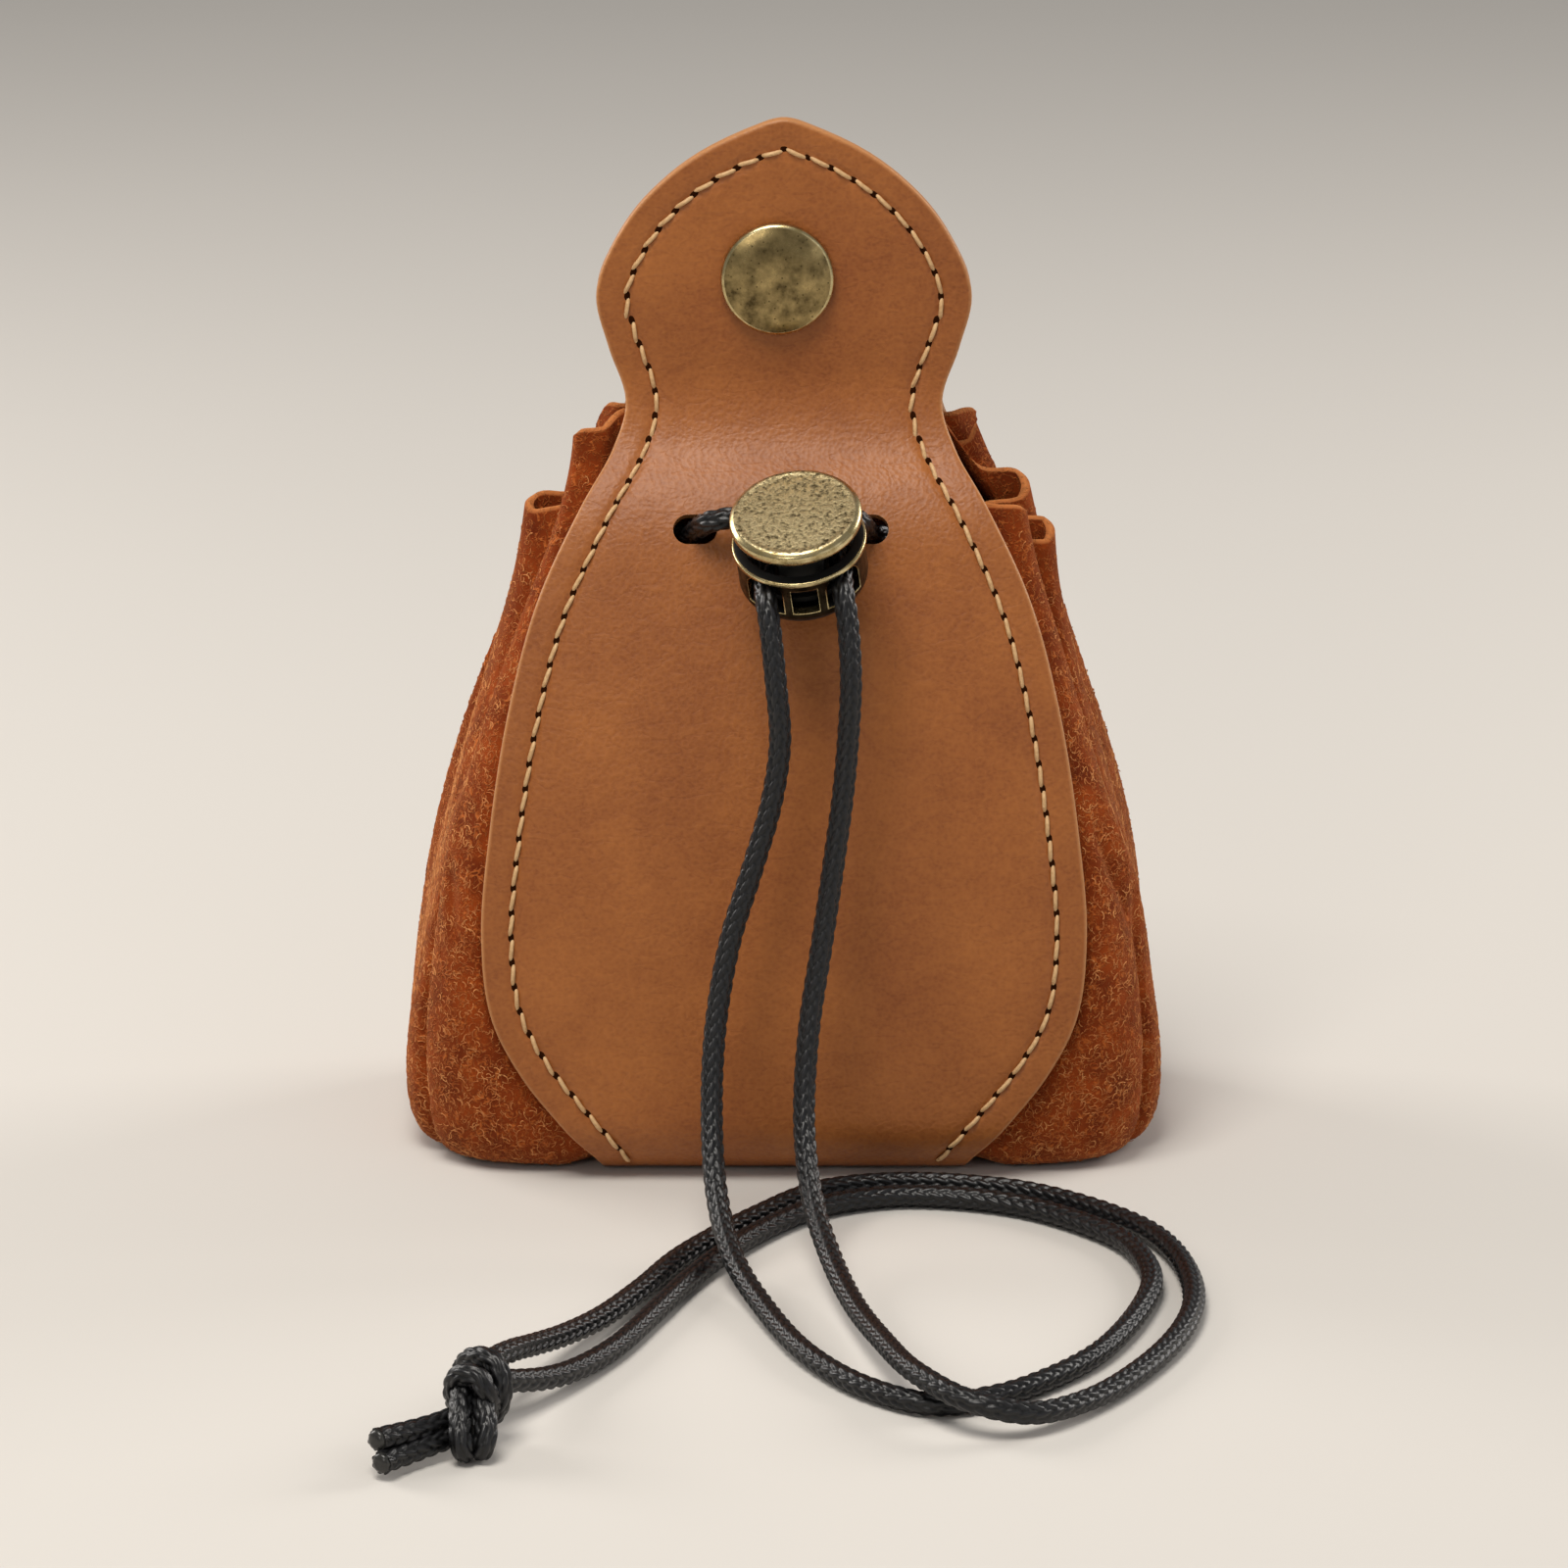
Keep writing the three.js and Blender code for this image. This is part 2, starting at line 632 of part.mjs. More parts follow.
/** The sprung button: a cap on a short stem, a web between the cords and a foot below them. */
function makeLockButton() {
  const cap = turned([
    [0, STEM_BOTTOM],
    [STEM_RADIUS, STEM_BOTTOM],
    [STEM_RADIUS, -BUTTON_THICK],
    [BUTTON_RADIUS - BUTTON_ROUND, -BUTTON_THICK],
    [BUTTON_RADIUS, -BUTTON_THICK + BUTTON_ROUND],
    [BUTTON_RADIUS, -BUTTON_ROUND],
    [BUTTON_RADIUS - BUTTON_ROUND, 0],
    [0, 0],
  ], LOCK_SIDES);
  const post = turned([
    [0, FOOT_BOTTOM],
    [FOOT_RADIUS, FOOT_BOTTOM],
    [FOOT_RADIUS, STEM_BOTTOM + FACE_GAP],
    [0, STEM_BOTTOM + FACE_GAP],
  ], LOCK_SIDES);
  const clear = [-1, 1].map((side) => {
    const edges = [side * WEB_HALF, side * BUTTON_RADIUS].sort((a, b) => a - b);
    return block([edges[0], -BUTTON_RADIUS, FOOT_TOP], [edges[1], BUTTON_RADIUS, STEM_BOTTOM + 2 * FACE_GAP]);
  });
  const core = solidOf(cut(post, clear));
  return geometryOf(solidOf(cap).add(core));
}

/** An arched window along Y for one cord. */
function cordWindow(x) {
  const arch = new THREE.Shape();
  arch.absarc(x, CORD_HEIGHT, WINDOW_RADIUS, 0, Math.PI);
  arch.lineTo(x - WINDOW_RADIUS, WINDOW_SILL);
  arch.lineTo(x + WINDOW_RADIUS, WINDOW_SILL);
  arch.closePath();
  const depth = 4 * BARREL_RADIUS;
  const window = new THREE.ExtrudeGeometry(arch, { depth, bevelEnabled: false, curveSegments: ARC_STEPS });
  return window.rotateX(Math.PI / 2).translate(0, depth / 2, 0);
}

/** The barrel: a round cup with a rim ring, two cord windows front and back, and a slot in front. */
function makeLockBarrel() {
  const cup = turned([
    [0, BARREL_BOTTOM],
    [BARREL_FOOT_RADIUS, BARREL_BOTTOM],
    [BARREL_RADIUS, BARREL_BOTTOM + BARREL_CHAMFER],
    [BARREL_RADIUS, BARREL_TOP - BARREL_RING],
    [BARREL_RING_RADIUS, BARREL_TOP - BARREL_RING],
    [BARREL_RING_RADIUS, BARREL_TOP],
    [BARREL_BORE, BARREL_TOP],
    [BARREL_BORE, BARREL_FLOOR],
    [0, BARREL_FLOOR],
  ], LOCK_SIDES);
  const slot = block(
    [-FRONT_SLOT_HALF, -2 * BARREL_RADIUS, WINDOW_SILL],
    [FRONT_SLOT_HALF, 0, FRONT_SLOT_TOP],
  );
  return cut(cup, [cordWindow(-CORD_SPREAD), cordWindow(CORD_SPREAD), slot]);
}

const lock = new THREE.Group();
lock.position.copy(LOCK_TOP);
lock.rotation.set(radians(LOCK_TILT), radians(LOCK_ROLL), 0, "YXZ");
lock.updateMatrix();

// Drawstring

/** A place on the cord on one side of the lock, by its depth in the lock's frame. */
const inLock = (side, depth) => {
  return new THREE.Vector3(side * CORD_SPREAD, depth, CORD_HEIGHT).applyMatrix4(lock.matrix);
};

/** A place on a cord before it enters the knot, above the other cord or below it. */
function beforeKnot(level, distance) {
  const [first, second] = KNOT_SECTIONS.map(({ middle }) => new THREE.Vector3(...middle));
  const back = first.clone().sub(second).setLength(distance);
  return first.add(KNOT_PLACE).add(back).add(new THREE.Vector3(0, 0, level * KNOT_APART));
}

function makeLoop() {
  const through = [-LOCK_MOUTH + END_GAP, 0, LOCK_MOUTH, LOCK_MOUTH + LEAD_OUT];
  return cord([
    ...through.map((depth) => inLock(-1, depth)),
    ...toVectors(LOOP_ROUTE),
    ...through.toReversed().map((depth) => inLock(1, depth)),
  ], LOOP_STEPS);
}

function makeTail(side, route, level) {
  return cord([
    inLock(side, -LOCK_MOUTH),
    inLock(side, -LOCK_MOUTH - LEAD_OUT),
    ...toVectors(route),
    beforeKnot(level, LEAD_IN),
    beforeKnot(level, END_GAP),
  ], TAIL_STEPS);
}

/** The knot: upright oval rings, each square to the line through its neighbours' middles. */
function makeKnot() {
  const middles = KNOT_SECTIONS.map(({ middle }) => new THREE.Vector3(...middle).add(KNOT_PLACE));
  return loft(KNOT_SECTIONS.map(({ half, rise }, row) => {
    const ahead = (middles[row + 1] ?? middles[row]).clone().sub(middles[row - 1] ?? middles[row]);
    const across = new THREE.Vector3(-ahead.y, ahead.x, 0).setLength(half);
    return [...Array(KNOT_SIDES).keys()].map((side) => {
      const turn = (2 * Math.PI * side) / KNOT_SIDES;
      const point = middles[row].clone().addScaledVector(across, Math.cos(turn));
      point.z += rise * Math.sin(turn);
      return point;
    });
  }));
}

// Finishes

const TAN_LEATHER = { color: 0xa8693c, roughness: 0.55, metalness: 0 };
const RUST_SUEDE = { color: 0xb0561f, roughness: 0.95, metalness: 0 };
const ANTIQUE_BRASS = { color: 0x8a774c, roughness: 0.4, metalness: 1 };
const BLACK_CORD = { color: 0x1c1c1e, roughness: 0.6, metalness: 0 };

// Assembly

const bag = new THREE.Group();
bag.add(piece("strap", makeStrap(), TAN_LEATHER));
bag.add(piece("suede_body", makeSuedeBody(), RUST_SUEDE));

const snap = new THREE.Group();
snap.position.set(SNAP_X, 0, SNAP_HEIGHT);
snap.rotation.x = Math.PI / 2;
const snapCap = piece("snap_cap", makeSnapCap(), ANTIQUE_BRASS);
snapCap.position.z = headFace + FACE_GAP;
snap.add(snapCap, piece("snap_post", makeSnapPost(), ANTIQUE_BRASS));
bag.add(snap);

lock.add(piece("lock_barrel", makeLockBarrel(), ANTIQUE_BRASS));
lock.add(piece("lock_button", makeLockButton(), ANTIQUE_BRASS));
bag.add(lock);

bag.add(piece("drawstring_loop", makeLoop(), BLACK_CORD));
bag.add(piece("cord_left", makeTail(-1, LEFT_TAIL, -1), BLACK_CORD));
bag.add(piece("cord_right", makeTail(1, RIGHT_TAIL, 1), BLACK_CORD));
bag.add(piece("cord_knot", makeKnot(), BLACK_CORD));

export default bag;
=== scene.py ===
"""Dress the drawstring dice bag: stitched leather strap, gathered suede, brass snap and lock, braided cord.

Sizes are millimetres in the frame of the part, and meshes are made in metres.
"""

import logging
import math
from dataclasses import dataclass, field
from enum import Enum
from functools import partial
from typing import Any, Callable, NamedTuple, Sequence

import bpy
import numpy as np
from bpy.types import Material, Node, NodeSocket, NodeTree, Object
from mathutils import Matrix, Vector


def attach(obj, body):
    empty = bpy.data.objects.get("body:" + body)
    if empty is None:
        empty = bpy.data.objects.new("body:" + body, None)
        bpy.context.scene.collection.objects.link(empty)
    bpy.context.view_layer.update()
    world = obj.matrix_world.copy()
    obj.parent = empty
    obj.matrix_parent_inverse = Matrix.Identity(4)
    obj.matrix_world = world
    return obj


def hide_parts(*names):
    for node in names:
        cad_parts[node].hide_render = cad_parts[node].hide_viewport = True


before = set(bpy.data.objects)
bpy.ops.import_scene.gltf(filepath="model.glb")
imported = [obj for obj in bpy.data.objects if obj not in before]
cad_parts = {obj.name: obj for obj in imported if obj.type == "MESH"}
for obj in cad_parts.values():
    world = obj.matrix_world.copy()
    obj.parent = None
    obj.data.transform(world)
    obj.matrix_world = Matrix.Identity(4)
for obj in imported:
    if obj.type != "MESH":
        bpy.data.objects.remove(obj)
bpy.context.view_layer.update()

log = logging.getLogger("dice_bag")
Array = np.ndarray
Place = tuple[float, float, float]
Route = tuple[Place, ...]
Adder = Callable[..., Node]
MM = 0.001
# The steps between two points of a route, and the share of a side that a rounded corner may take
ROUTE_STEPS = 40
MOST_ROUND = 0.45
NOISE, RANGE, MATH, MIX = "ShaderNodeTexNoise", "ShaderNodeMapRange", "ShaderNodeMath", "ShaderNodeMix"
SOCKETS = {float: "Float", int: "Int", tuple: "Vector", Material: "Material"}


class Body(Enum):
    """The bodies of the frame that pieces ride on."""

    BAG = "bag"
    LOCK_BUTTON = "lock_button"


class Slot(Enum):
    """The record's material slots."""

    LEATHER = "tan_leather"
    SUEDE = "rust_suede"
    BRASS = "antique_brass"
    CORD = "black_cord"


# Small tools


def linear(code: str) -> tuple[float, float, float, float]:
    """Turn an sRGB hex colour into linear values.

    Args:
        code: Six hex digits after a hash.

    Returns:
        Linear red, green, blue and a full alpha.
    """
    shares = [int(code[i : i + 2], 16) / 255 for i in (1, 3, 5)]
    values = [s / 12.92 if s <= 0.04045 else ((s + 0.055) / 1.055) ** 2.4 for s in shares]
    return (*values, 1.0)


def per_mm(size: float) -> float:
    """Give the texture scale whose pattern repeats about every size in millimetres."""
    return 1 / (size * MM)


def fill(tree: NodeTree, node: Node, inputs: dict) -> None:
    """Set or link a node's inputs.

    Args:
        tree: The node's tree.
        node: The node.
        inputs: Sockets by name or number, each with a value, a node, a socket, or a list of nodes.
    """
    for key, value in inputs.items():
        for item in value if isinstance(value, list) else [value]:
            source = item.outputs[0] if isinstance(item, Node) else item
            if isinstance(source, NodeSocket):
                tree.links.new(source, node.inputs[key])
            else:
                node.inputs[key].default_value = source


def add_node(tree: NodeTree, kind: str, inputs: dict | None = None, **settings: Any) -> Node:
    """Add a node, set it and link it.

    Args:
        tree: The node tree that gets the node.
        kind: The node's type name.
        inputs: Its sockets, as fill takes them.
        **settings: Properties of the node itself.

    Returns:
        The new node.
    """
    node = tree.nodes.new(kind)
    for name, value in settings.items():
        setattr(node, name, value)
    fill(tree, node, inputs or {})
    return node


def new_tree(name: str, sizes: dict[str, Any]) -> tuple[NodeTree, dict[str, NodeSocket]]:
    """Start a Geometry Nodes tree with named inputs.

    Args:
        name: The tree's name.
        sizes: Input names, each with a value of its kind.

    Returns:
        The tree, and by name the sockets that its inputs feed.
    """
    tree = bpy.data.node_groups.new(name, "GeometryNodeTree")
    tree.interface.new_socket("Geometry", in_out="INPUT", socket_type="NodeSocketGeometry")
    for label, value in sizes.items():
        kind = f"NodeSocket{SOCKETS[type(value)]}"
        tree.interface.new_socket(label, in_out="INPUT", socket_type=kind)
    tree.interface.new_socket("Geometry", in_out="OUTPUT", socket_type="NodeSocketGeometry")
    return tree, {socket.name: socket for socket in add_node(tree, "NodeGroupInput").outputs}


def end_tree(tree: NodeTree, made: Node, material: NodeSocket | None = None) -> NodeTree:
    """Close a tree.

    Args:
        tree: The tree.
        made: The node whose geometry it gives.
        material: The socket of its material, where parts don't have their own.

    Returns:
        The tree.
    """
    made = add_node(tree, "GeometryNodeRealizeInstances", {"Geometry": made})
    made = add_node(tree, "GeometryNodeSetShadeSmooth", {"Geometry": made})
    if material:
        made = add_node(tree, "GeometryNodeSetMaterial", {"Geometry": made, "Material": material})
    add_node(tree, "NodeGroupOutput", {0: made})
    return tree


def apply_modifiers(piece: Object) -> None:
    """Bake a piece's modifiers into a plain mesh and take them away.

    Args:
        piece: The piece.
    """
    graph = bpy.context.evaluated_depsgraph_get()
    baked = piece.evaluated_get(graph)
    mesh = bpy.data.meshes.new_from_object(baked, preserve_all_data_layers=True, depsgraph=graph)
    piece.modifiers.clear()
    piece.data = mesh


def grow(piece: Object, tree: NodeTree, sizes: dict[str, Any]) -> None:
    """Run a Geometry Nodes tree on a piece and keep its result as the piece's mesh.

    Args:
        piece: The object whose mesh feeds the tree.
        tree: The tree to run.
        sizes: Values of the tree's named inputs.
    """
    modifier = piece.modifiers.new(tree.name, "NODES")
    modifier.node_group = tree
    for item in tree.interface.items_tree:
        if item.in_out == "INPUT" and item.name in sizes:
            modifier[item.identifier] = sizes[item.name]
    apply_modifiers(piece)


def make_piece(name: str, points: Array, faces: Sequence, edges: Sequence = ()) -> Object:
    """Make an object at the origin from points in millimetres.

    Args:
        name: The piece's name.
        points: Rows of x, y and z.
        faces: Point numbers of each face.
        edges: Point numbers of each loose edge.

    Returns:
        The linked object.
    """
    mesh = bpy.data.meshes.new(name)
    lines, walls = ([tuple(row) for row in rows] for rows in (edges, faces))
    mesh.from_pydata((np.asarray(points) * MM).tolist(), lines, walls)
    piece = bpy.data.objects.new(name, mesh)
    bpy.context.scene.collection.objects.link(piece)
    return piece


def make_lines(name: str, lines: Sequence[Array]) -> Object:
    """Make an object of loose edges along lines.

    Args:
        name: The piece's name.
        lines: Points of each line in millimetres.

    Returns:
        The linked object.
    """
    ends = np.cumsum([len(line) for line in lines])
    edges = [(i, i + 1) for i in range(ends[-1]) if i + 1 not in ends]
    return make_piece(name, np.concatenate(lines), [], edges)


def mark(piece: Object, name: str, values: Array) -> None:
    """Store one number, or one vector, for each point of a piece.

    Args:
        piece: The piece.
        name: What the values are called.
        values: A row for each point.
    """
    kind, key = ("FLOAT", "value") if values.ndim == 1 else ("FLOAT_VECTOR", "vector")
    layer = piece.data.attributes.new(name, kind, "POINT")
    layer.data.foreach_set(key, np.ascontiguousarray(values, dtype=np.float32).ravel())


def smooth(piece: Object, crease_deg: float = 40) -> None:
    """Shade a piece smooth, with sharp edges where it bends more than an angle."""
    piece.data.shade_smooth()
    piece.data.set_sharp_from_angle(angle=math.radians(crease_deg))


def coat(piece: Object, *materials: Material) -> None:
    """Give a piece its materials, in the order that its faces number them."""
    for material in materials:
        piece.data.materials.append(material)


def shape(piece: Object, tools: Sequence[Object], operation: str = "DIFFERENCE") -> None:
    """Cut closed shapes out of a piece, or join them to it, and remove them.

    Args:
        piece: The piece.
        tools: The shapes.
        operation: How they change the piece.
    """
    for tool in tools:
        modifier = piece.modifiers.new(tool.name, "BOOLEAN")
        modifier.object = tool
        modifier.operation = operation
        modifier.solver = "EXACT"
    apply_modifiers(piece)
    for tool in tools:
        bpy.data.objects.remove(tool)


def settle(piece: Object, body: Body, slot: Slot, *nodes: str) -> None:
    """Seat a finished piece on its body and report it.

    Args:
        piece: The piece.
        body: The body that it rides on.
        slot: The record's material slot of its finish; not used.
        *nodes: The nodes of the frame that it stands for.
    """
    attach(piece, body.value)
    if nodes:
        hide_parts(*nodes)
    triangles = sum(len(face.vertices) - 2 for face in piece.data.polygons)
    log.info("%s on %s, %d triangles", piece.name, body.value, triangles)


def grid_faces(rows: int, columns: int, closed: bool = True) -> Array:
    """Number the quads of a grid of points.

    Args:
        rows: Rows of points.
        columns: Points in each row.
        closed: Whether the last column joins the first.

    Returns:
        Four point numbers for each quad.
    """
    here = np.arange(rows * columns).reshape(rows, columns)
    beside = np.roll(here, -1, axis=1)
    quads = np.stack([here[:-1], beside[:-1], beside[1:], here[1:]], axis=-1)
    return (quads if closed else quads[:, :-1]).reshape(-1, 4)


def closed_loft(rings: Array) -> tuple[Array, list]:
    """Skin rings of points and close both ends with a fan.

    Args:
        rings: Rings of the same number of points.

    Returns:
        Points and faces.
    """
    rows, columns = rings.shape[:2]
    faces = grid_faces(rows, columns).tolist()
    points = np.concatenate([rings.reshape(-1, 3), rings[:1].mean(axis=1), rings[-1:].mean(axis=1)])
    first = np.arange(columns)
    last = first + (rows - 1) * columns
    faces += [(rows * columns, b, a) for a, b in zip(first, np.roll(first, -1))]
    faces += [(rows * columns + 1, a, b) for a, b in zip(last, np.roll(last, -1))]
    return points, faces


class Corner(NamedTuple):
    """A corner of a turned profile: distance from the axis, height, and the radius that rounds it."""

    radius: float
    height: float
    round: float = 0.0


def turned(name: str, profile: Sequence[tuple], sides: int = 96, steps: int = 6) -> Object:
    """Turn a profile about +Z, with its corners rounded.

    Args:
        name: The piece's name.
        profile: Corner rows from the axis at the bottom, round the outside, to the axis at the top.
        sides: Points round the axis.
        steps: Steps of each rounded corner.

    Returns:
        The closed turned piece.
    """
    corners = [Corner(*row) for row in profile]
    places = [np.array([corner.radius, corner.height]) for corner in corners]
    line: list[Array] = []
    for number, corner in enumerate(corners):
        here = places[number]
        if not corner.round:
            line.append(here)
            continue
        back, ahead = places[number - 1] - here, places[number + 1] - here
        reach = min(corner.round, *(MOST_ROUND * np.linalg.norm(side) for side in (back, ahead)))
        start = here + back / np.linalg.norm(back) * reach
        end = here + ahead / np.linalg.norm(ahead) * reach
        for share in np.linspace(0, 1, steps + 1):
            line.append((1 - share) ** 2 * start + 2 * share * (1 - share) * here + share**2 * end)
    outline = np.array(line[1:-1])
    angle = np.linspace(0, 2 * math.pi, sides, endpoint=False)
    across = (outline[:, :1] * np.cos(angle), outline[:, :1] * np.sin(angle))
    rings = np.stack([*across, np.repeat(outline[:, 1:], sides, axis=1)], axis=-1)
    return make_piece(name, *closed_loft(rings))


def smooth_column(rows: Sequence, at: str, column: str) -> Callable[[Array], Array]:
    """Read a table as a smooth curve.

    Args:
        rows: The table's rows.
        at: The column that says where each row is.
        column: The column to read.

    Returns:
        A function that gives the column's value at any place.
    """
    places = np.array([getattr(row, at) for row in rows], dtype=float)
    values = np.array([getattr(row, column) for row in rows], dtype=float)
    slopes = np.diff(values) / np.diff(places)
    tangents = np.concatenate([[0], (slopes[1:] + slopes[:-1]) / 2, [0]])

    def read(where: Array) -> Array:
        """Give the column's values.

        Args:
            where: Places.

        Returns:
            A value for each place.
        """
        i = np.clip(np.searchsorted(places, where, side="right") - 1, 0, len(places) - 2)
        width = places[i + 1] - places[i]
        t = np.clip((where - places[i]) / width, 0, 1)
        rise = values[i] * (1 + 2 * t) * (1 - t) ** 2 + values[i + 1] * t**2 * (3 - 2 * t)
        return rise + width * (tangents[i] * t * (1 - t) ** 2 - tangents[i + 1] * t**2 * (1 - t))

    return read


def blend(low: float, high: float, value: Array) -> Array:
    """Rise smoothly from 0 at low to 1 at high."""
    share = np.clip((value - low) / (high - low), 0, 1)
    return share**2 * (3 - 2 * share)


def run_length(points: Array) -> Array:
    """Give the length along a line of points, up to each of them."""
    return np.concatenate([[0], np.cumsum(np.linalg.norm(np.diff(points, axis=0), axis=1))])


def route_points(route: Array, spacing: float) -> Array:
    """Follow a route smoothly, in centripetal curves through its points.

    Args:
        route: The route's points in millimetres.
        spacing: The distance between the points that are returned.

    Returns:
        Evenly spaced points along the route.
    """
    ends = np.concatenate([[2 * route[0] - route[1]], route, [2 * route[-1] - route[-2]]])
    knots = np.sqrt(np.linalg.norm(np.diff(ends, axis=0), axis=1))
    share = np.linspace(0, 1, ROUTE_STEPS, endpoint=False)[:, None]
    fine = []
    for i in range(len(route) - 1):
        p0, p1, p2, p3 = ends[i : i + 4]
        d0, d1, d2 = knots[i : i + 3]
        leave = ((p1 - p0) / d0 - (p2 - p0) / (d0 + d1) + (p2 - p1) / d1) * d1
        arrive = ((p2 - p1) / d1 - (p3 - p1) / (d1 + d2) + (p3 - p2) / d2) * d1
        bend = 2 * p1 - 2 * p2 + leave + arrive
        turn = -3 * p1 + 3 * p2 - 2 * leave - arrive
        fine.append(p1 + leave * share + turn * share**2 + bend * share**3)
    dense = np.concatenate([*fine, route[-1:]])
    length = run_length(dense)
    stations = np.linspace(0, length[-1], max(2, round(length[-1] / spacing) + 1))
    return np.stack([np.interp(stations, length, dense[:, axis]) for axis in range(3)], axis=1)


def length_of(points: Array) -> float:
    """Give the length of a line of points."""
    return float(run_length(points)[-1])


def table(kind: type, *rows: tuple) -> tuple:
    """Make a table whose rows have the named columns of a kind."""
    return tuple(kind(*row) for row in rows)


# Finishes


@dataclass(frozen=True)
class Finish:
    """A real material and what it gives the eye."""

    name: str

    def make(self) -> Material:
        """Build the material.

        Returns:
            The material.
        """
        material = bpy.data.materials.new(self.name)
        material.use_nodes = True
        tree = material.node_tree
        coords = add_node(tree, "ShaderNodeTexCoord").outputs["Object"]
        fill(tree, tree.nodes["Principled BSDF"], self.paint(partial(add_node, tree), coords))
        return material

    def paint(self, add: Adder, coords: NodeSocket) -> dict[str, Any]:
        """Lay the patterns: add puts nodes in the material, and what comes back is the shader's inputs."""
        raise NotImplementedError

    def contour(self, add: Adder, noise: Node, on_line: float, off_line: float) -> Node:
        """Draw thin lines where a noise passes its middle.

        Args:
            add: Adds a node to the material.
            noise: The noise.
            on_line: The value on a line.
            off_line: The value away from the lines.

        Returns:
            The node with the lines.
        """
        level = add(MATH, {0: noise, 1: 0.5}, operation="SUBTRACT")
        away = add(MATH, {0: level}, operation="ABSOLUTE")
        return add(RANGE, {"Value": away, "From Max": 0.05, "To Min": on_line, "To Max": off_line})


@dataclass(frozen=True)
class SmoothLeather(Finish):
    """Vegetable-tanned cowhide, dyed through and glazed: satin and even, with short creases and pores."""

    name: str = "Vegetable-tanned leather, satin"
    dark: str = "#824518"
    light: str = "#A4622B"
    # Cut edge colour: the raw leather's own paler tone, with a painted highlight along the edge
    raw_edge_and_highlight: str = "#BC8450"
    mottle_mm: float = 16.0
    crease_mm: float = 2.6
    crease_deep: float = -0.28
    pore_mm: float = 0.6
    pore_deep: float = 0.8
    # How much painted shade darkens the creases and pores
    crease_shade: float = 0.35

    def paint(self, add: Adder, coords: NodeSocket) -> dict[str, Any]:
        """Vary the dye a little, press short creases and pores into it with painted shade in them, and pale
        the cut edge with its raw tone and a painted highlight.

        Args:
            add: Adds a node to the material.
            coords: The piece's own coordinates.

        Returns:
            The shader's inputs by name.
        """
        size = per_mm(self.mottle_mm)
        mottle = add(NOISE, {"Vector": coords, "Scale": size, "Detail": 7.0, "Roughness": 0.6})
        # The creases run shorter up the strap than across it, as on a hide cut along its back
        stretch = add("ShaderNodeMapping", {"Vector": coords, "Scale": (0.7, 1.0, 1.2)})
        size = per_mm(self.crease_mm)
        lines = add(NOISE, {"Vector": stretch, "Scale": size, "Detail": 3.0, "Distortion": 0.4})
        crease = self.contour(add, lines, self.crease_deep, 0.0)
        pores = add("ShaderNodeTexVoronoi", {"Vector": coords, "Scale": per_mm(self.pore_mm)})
        relief = add(MATH, {0: pores, 1: self.pore_deep, 2: crease}, operation="MULTIPLY_ADD")
        # Painted shade: the creases and pores are painted darker, so the grain shows in the tone as well
        tone = add(MATH, {0: relief, 1: self.crease_shade, 2: mottle}, operation="MULTIPLY_ADD")
        spread = add(RANGE, {"Value": tone, "From Min": 0.3, "From Max": 0.9})
        dye_and_crease_shade = add(MIX, {0: spread, 6: linear(self.dark), 7: linear(self.light)}, data_type="RGBA")
        # The cut edge and its rounded rim are painted paler: partly the raw edge's own tone, partly a
        # painted highlight
        edge = add("ShaderNodeAttribute", attribute_name="edge_mm").outputs["Fac"]
        raw_edge_and_highlight_mask = add(RANGE, {"Value": edge, "From Min": 0.1, "From Max": 0.5, "To Min": 0.7, "To Max": 0.0})
        colour = add(MIX, {0: raw_edge_and_highlight_mask, 6: dye_and_crease_shade.outputs[2], 7: linear(self.raw_edge_and_highlight)}, data_type="RGBA")
        gloss = {"Value": mottle, "From Min": 0.3, "From Max": 0.7, "To Min": 0.52, "To Max": 0.42}
        return {
            "Base Color": colour.outputs[2],
            "Normal": add("ShaderNodeBump", {"Height": relief, "Strength": 0.45, "Distance": 0.00015}),
            "Roughness": add(RANGE, gloss),
            "Specular IOR Level": 0.4,
        }


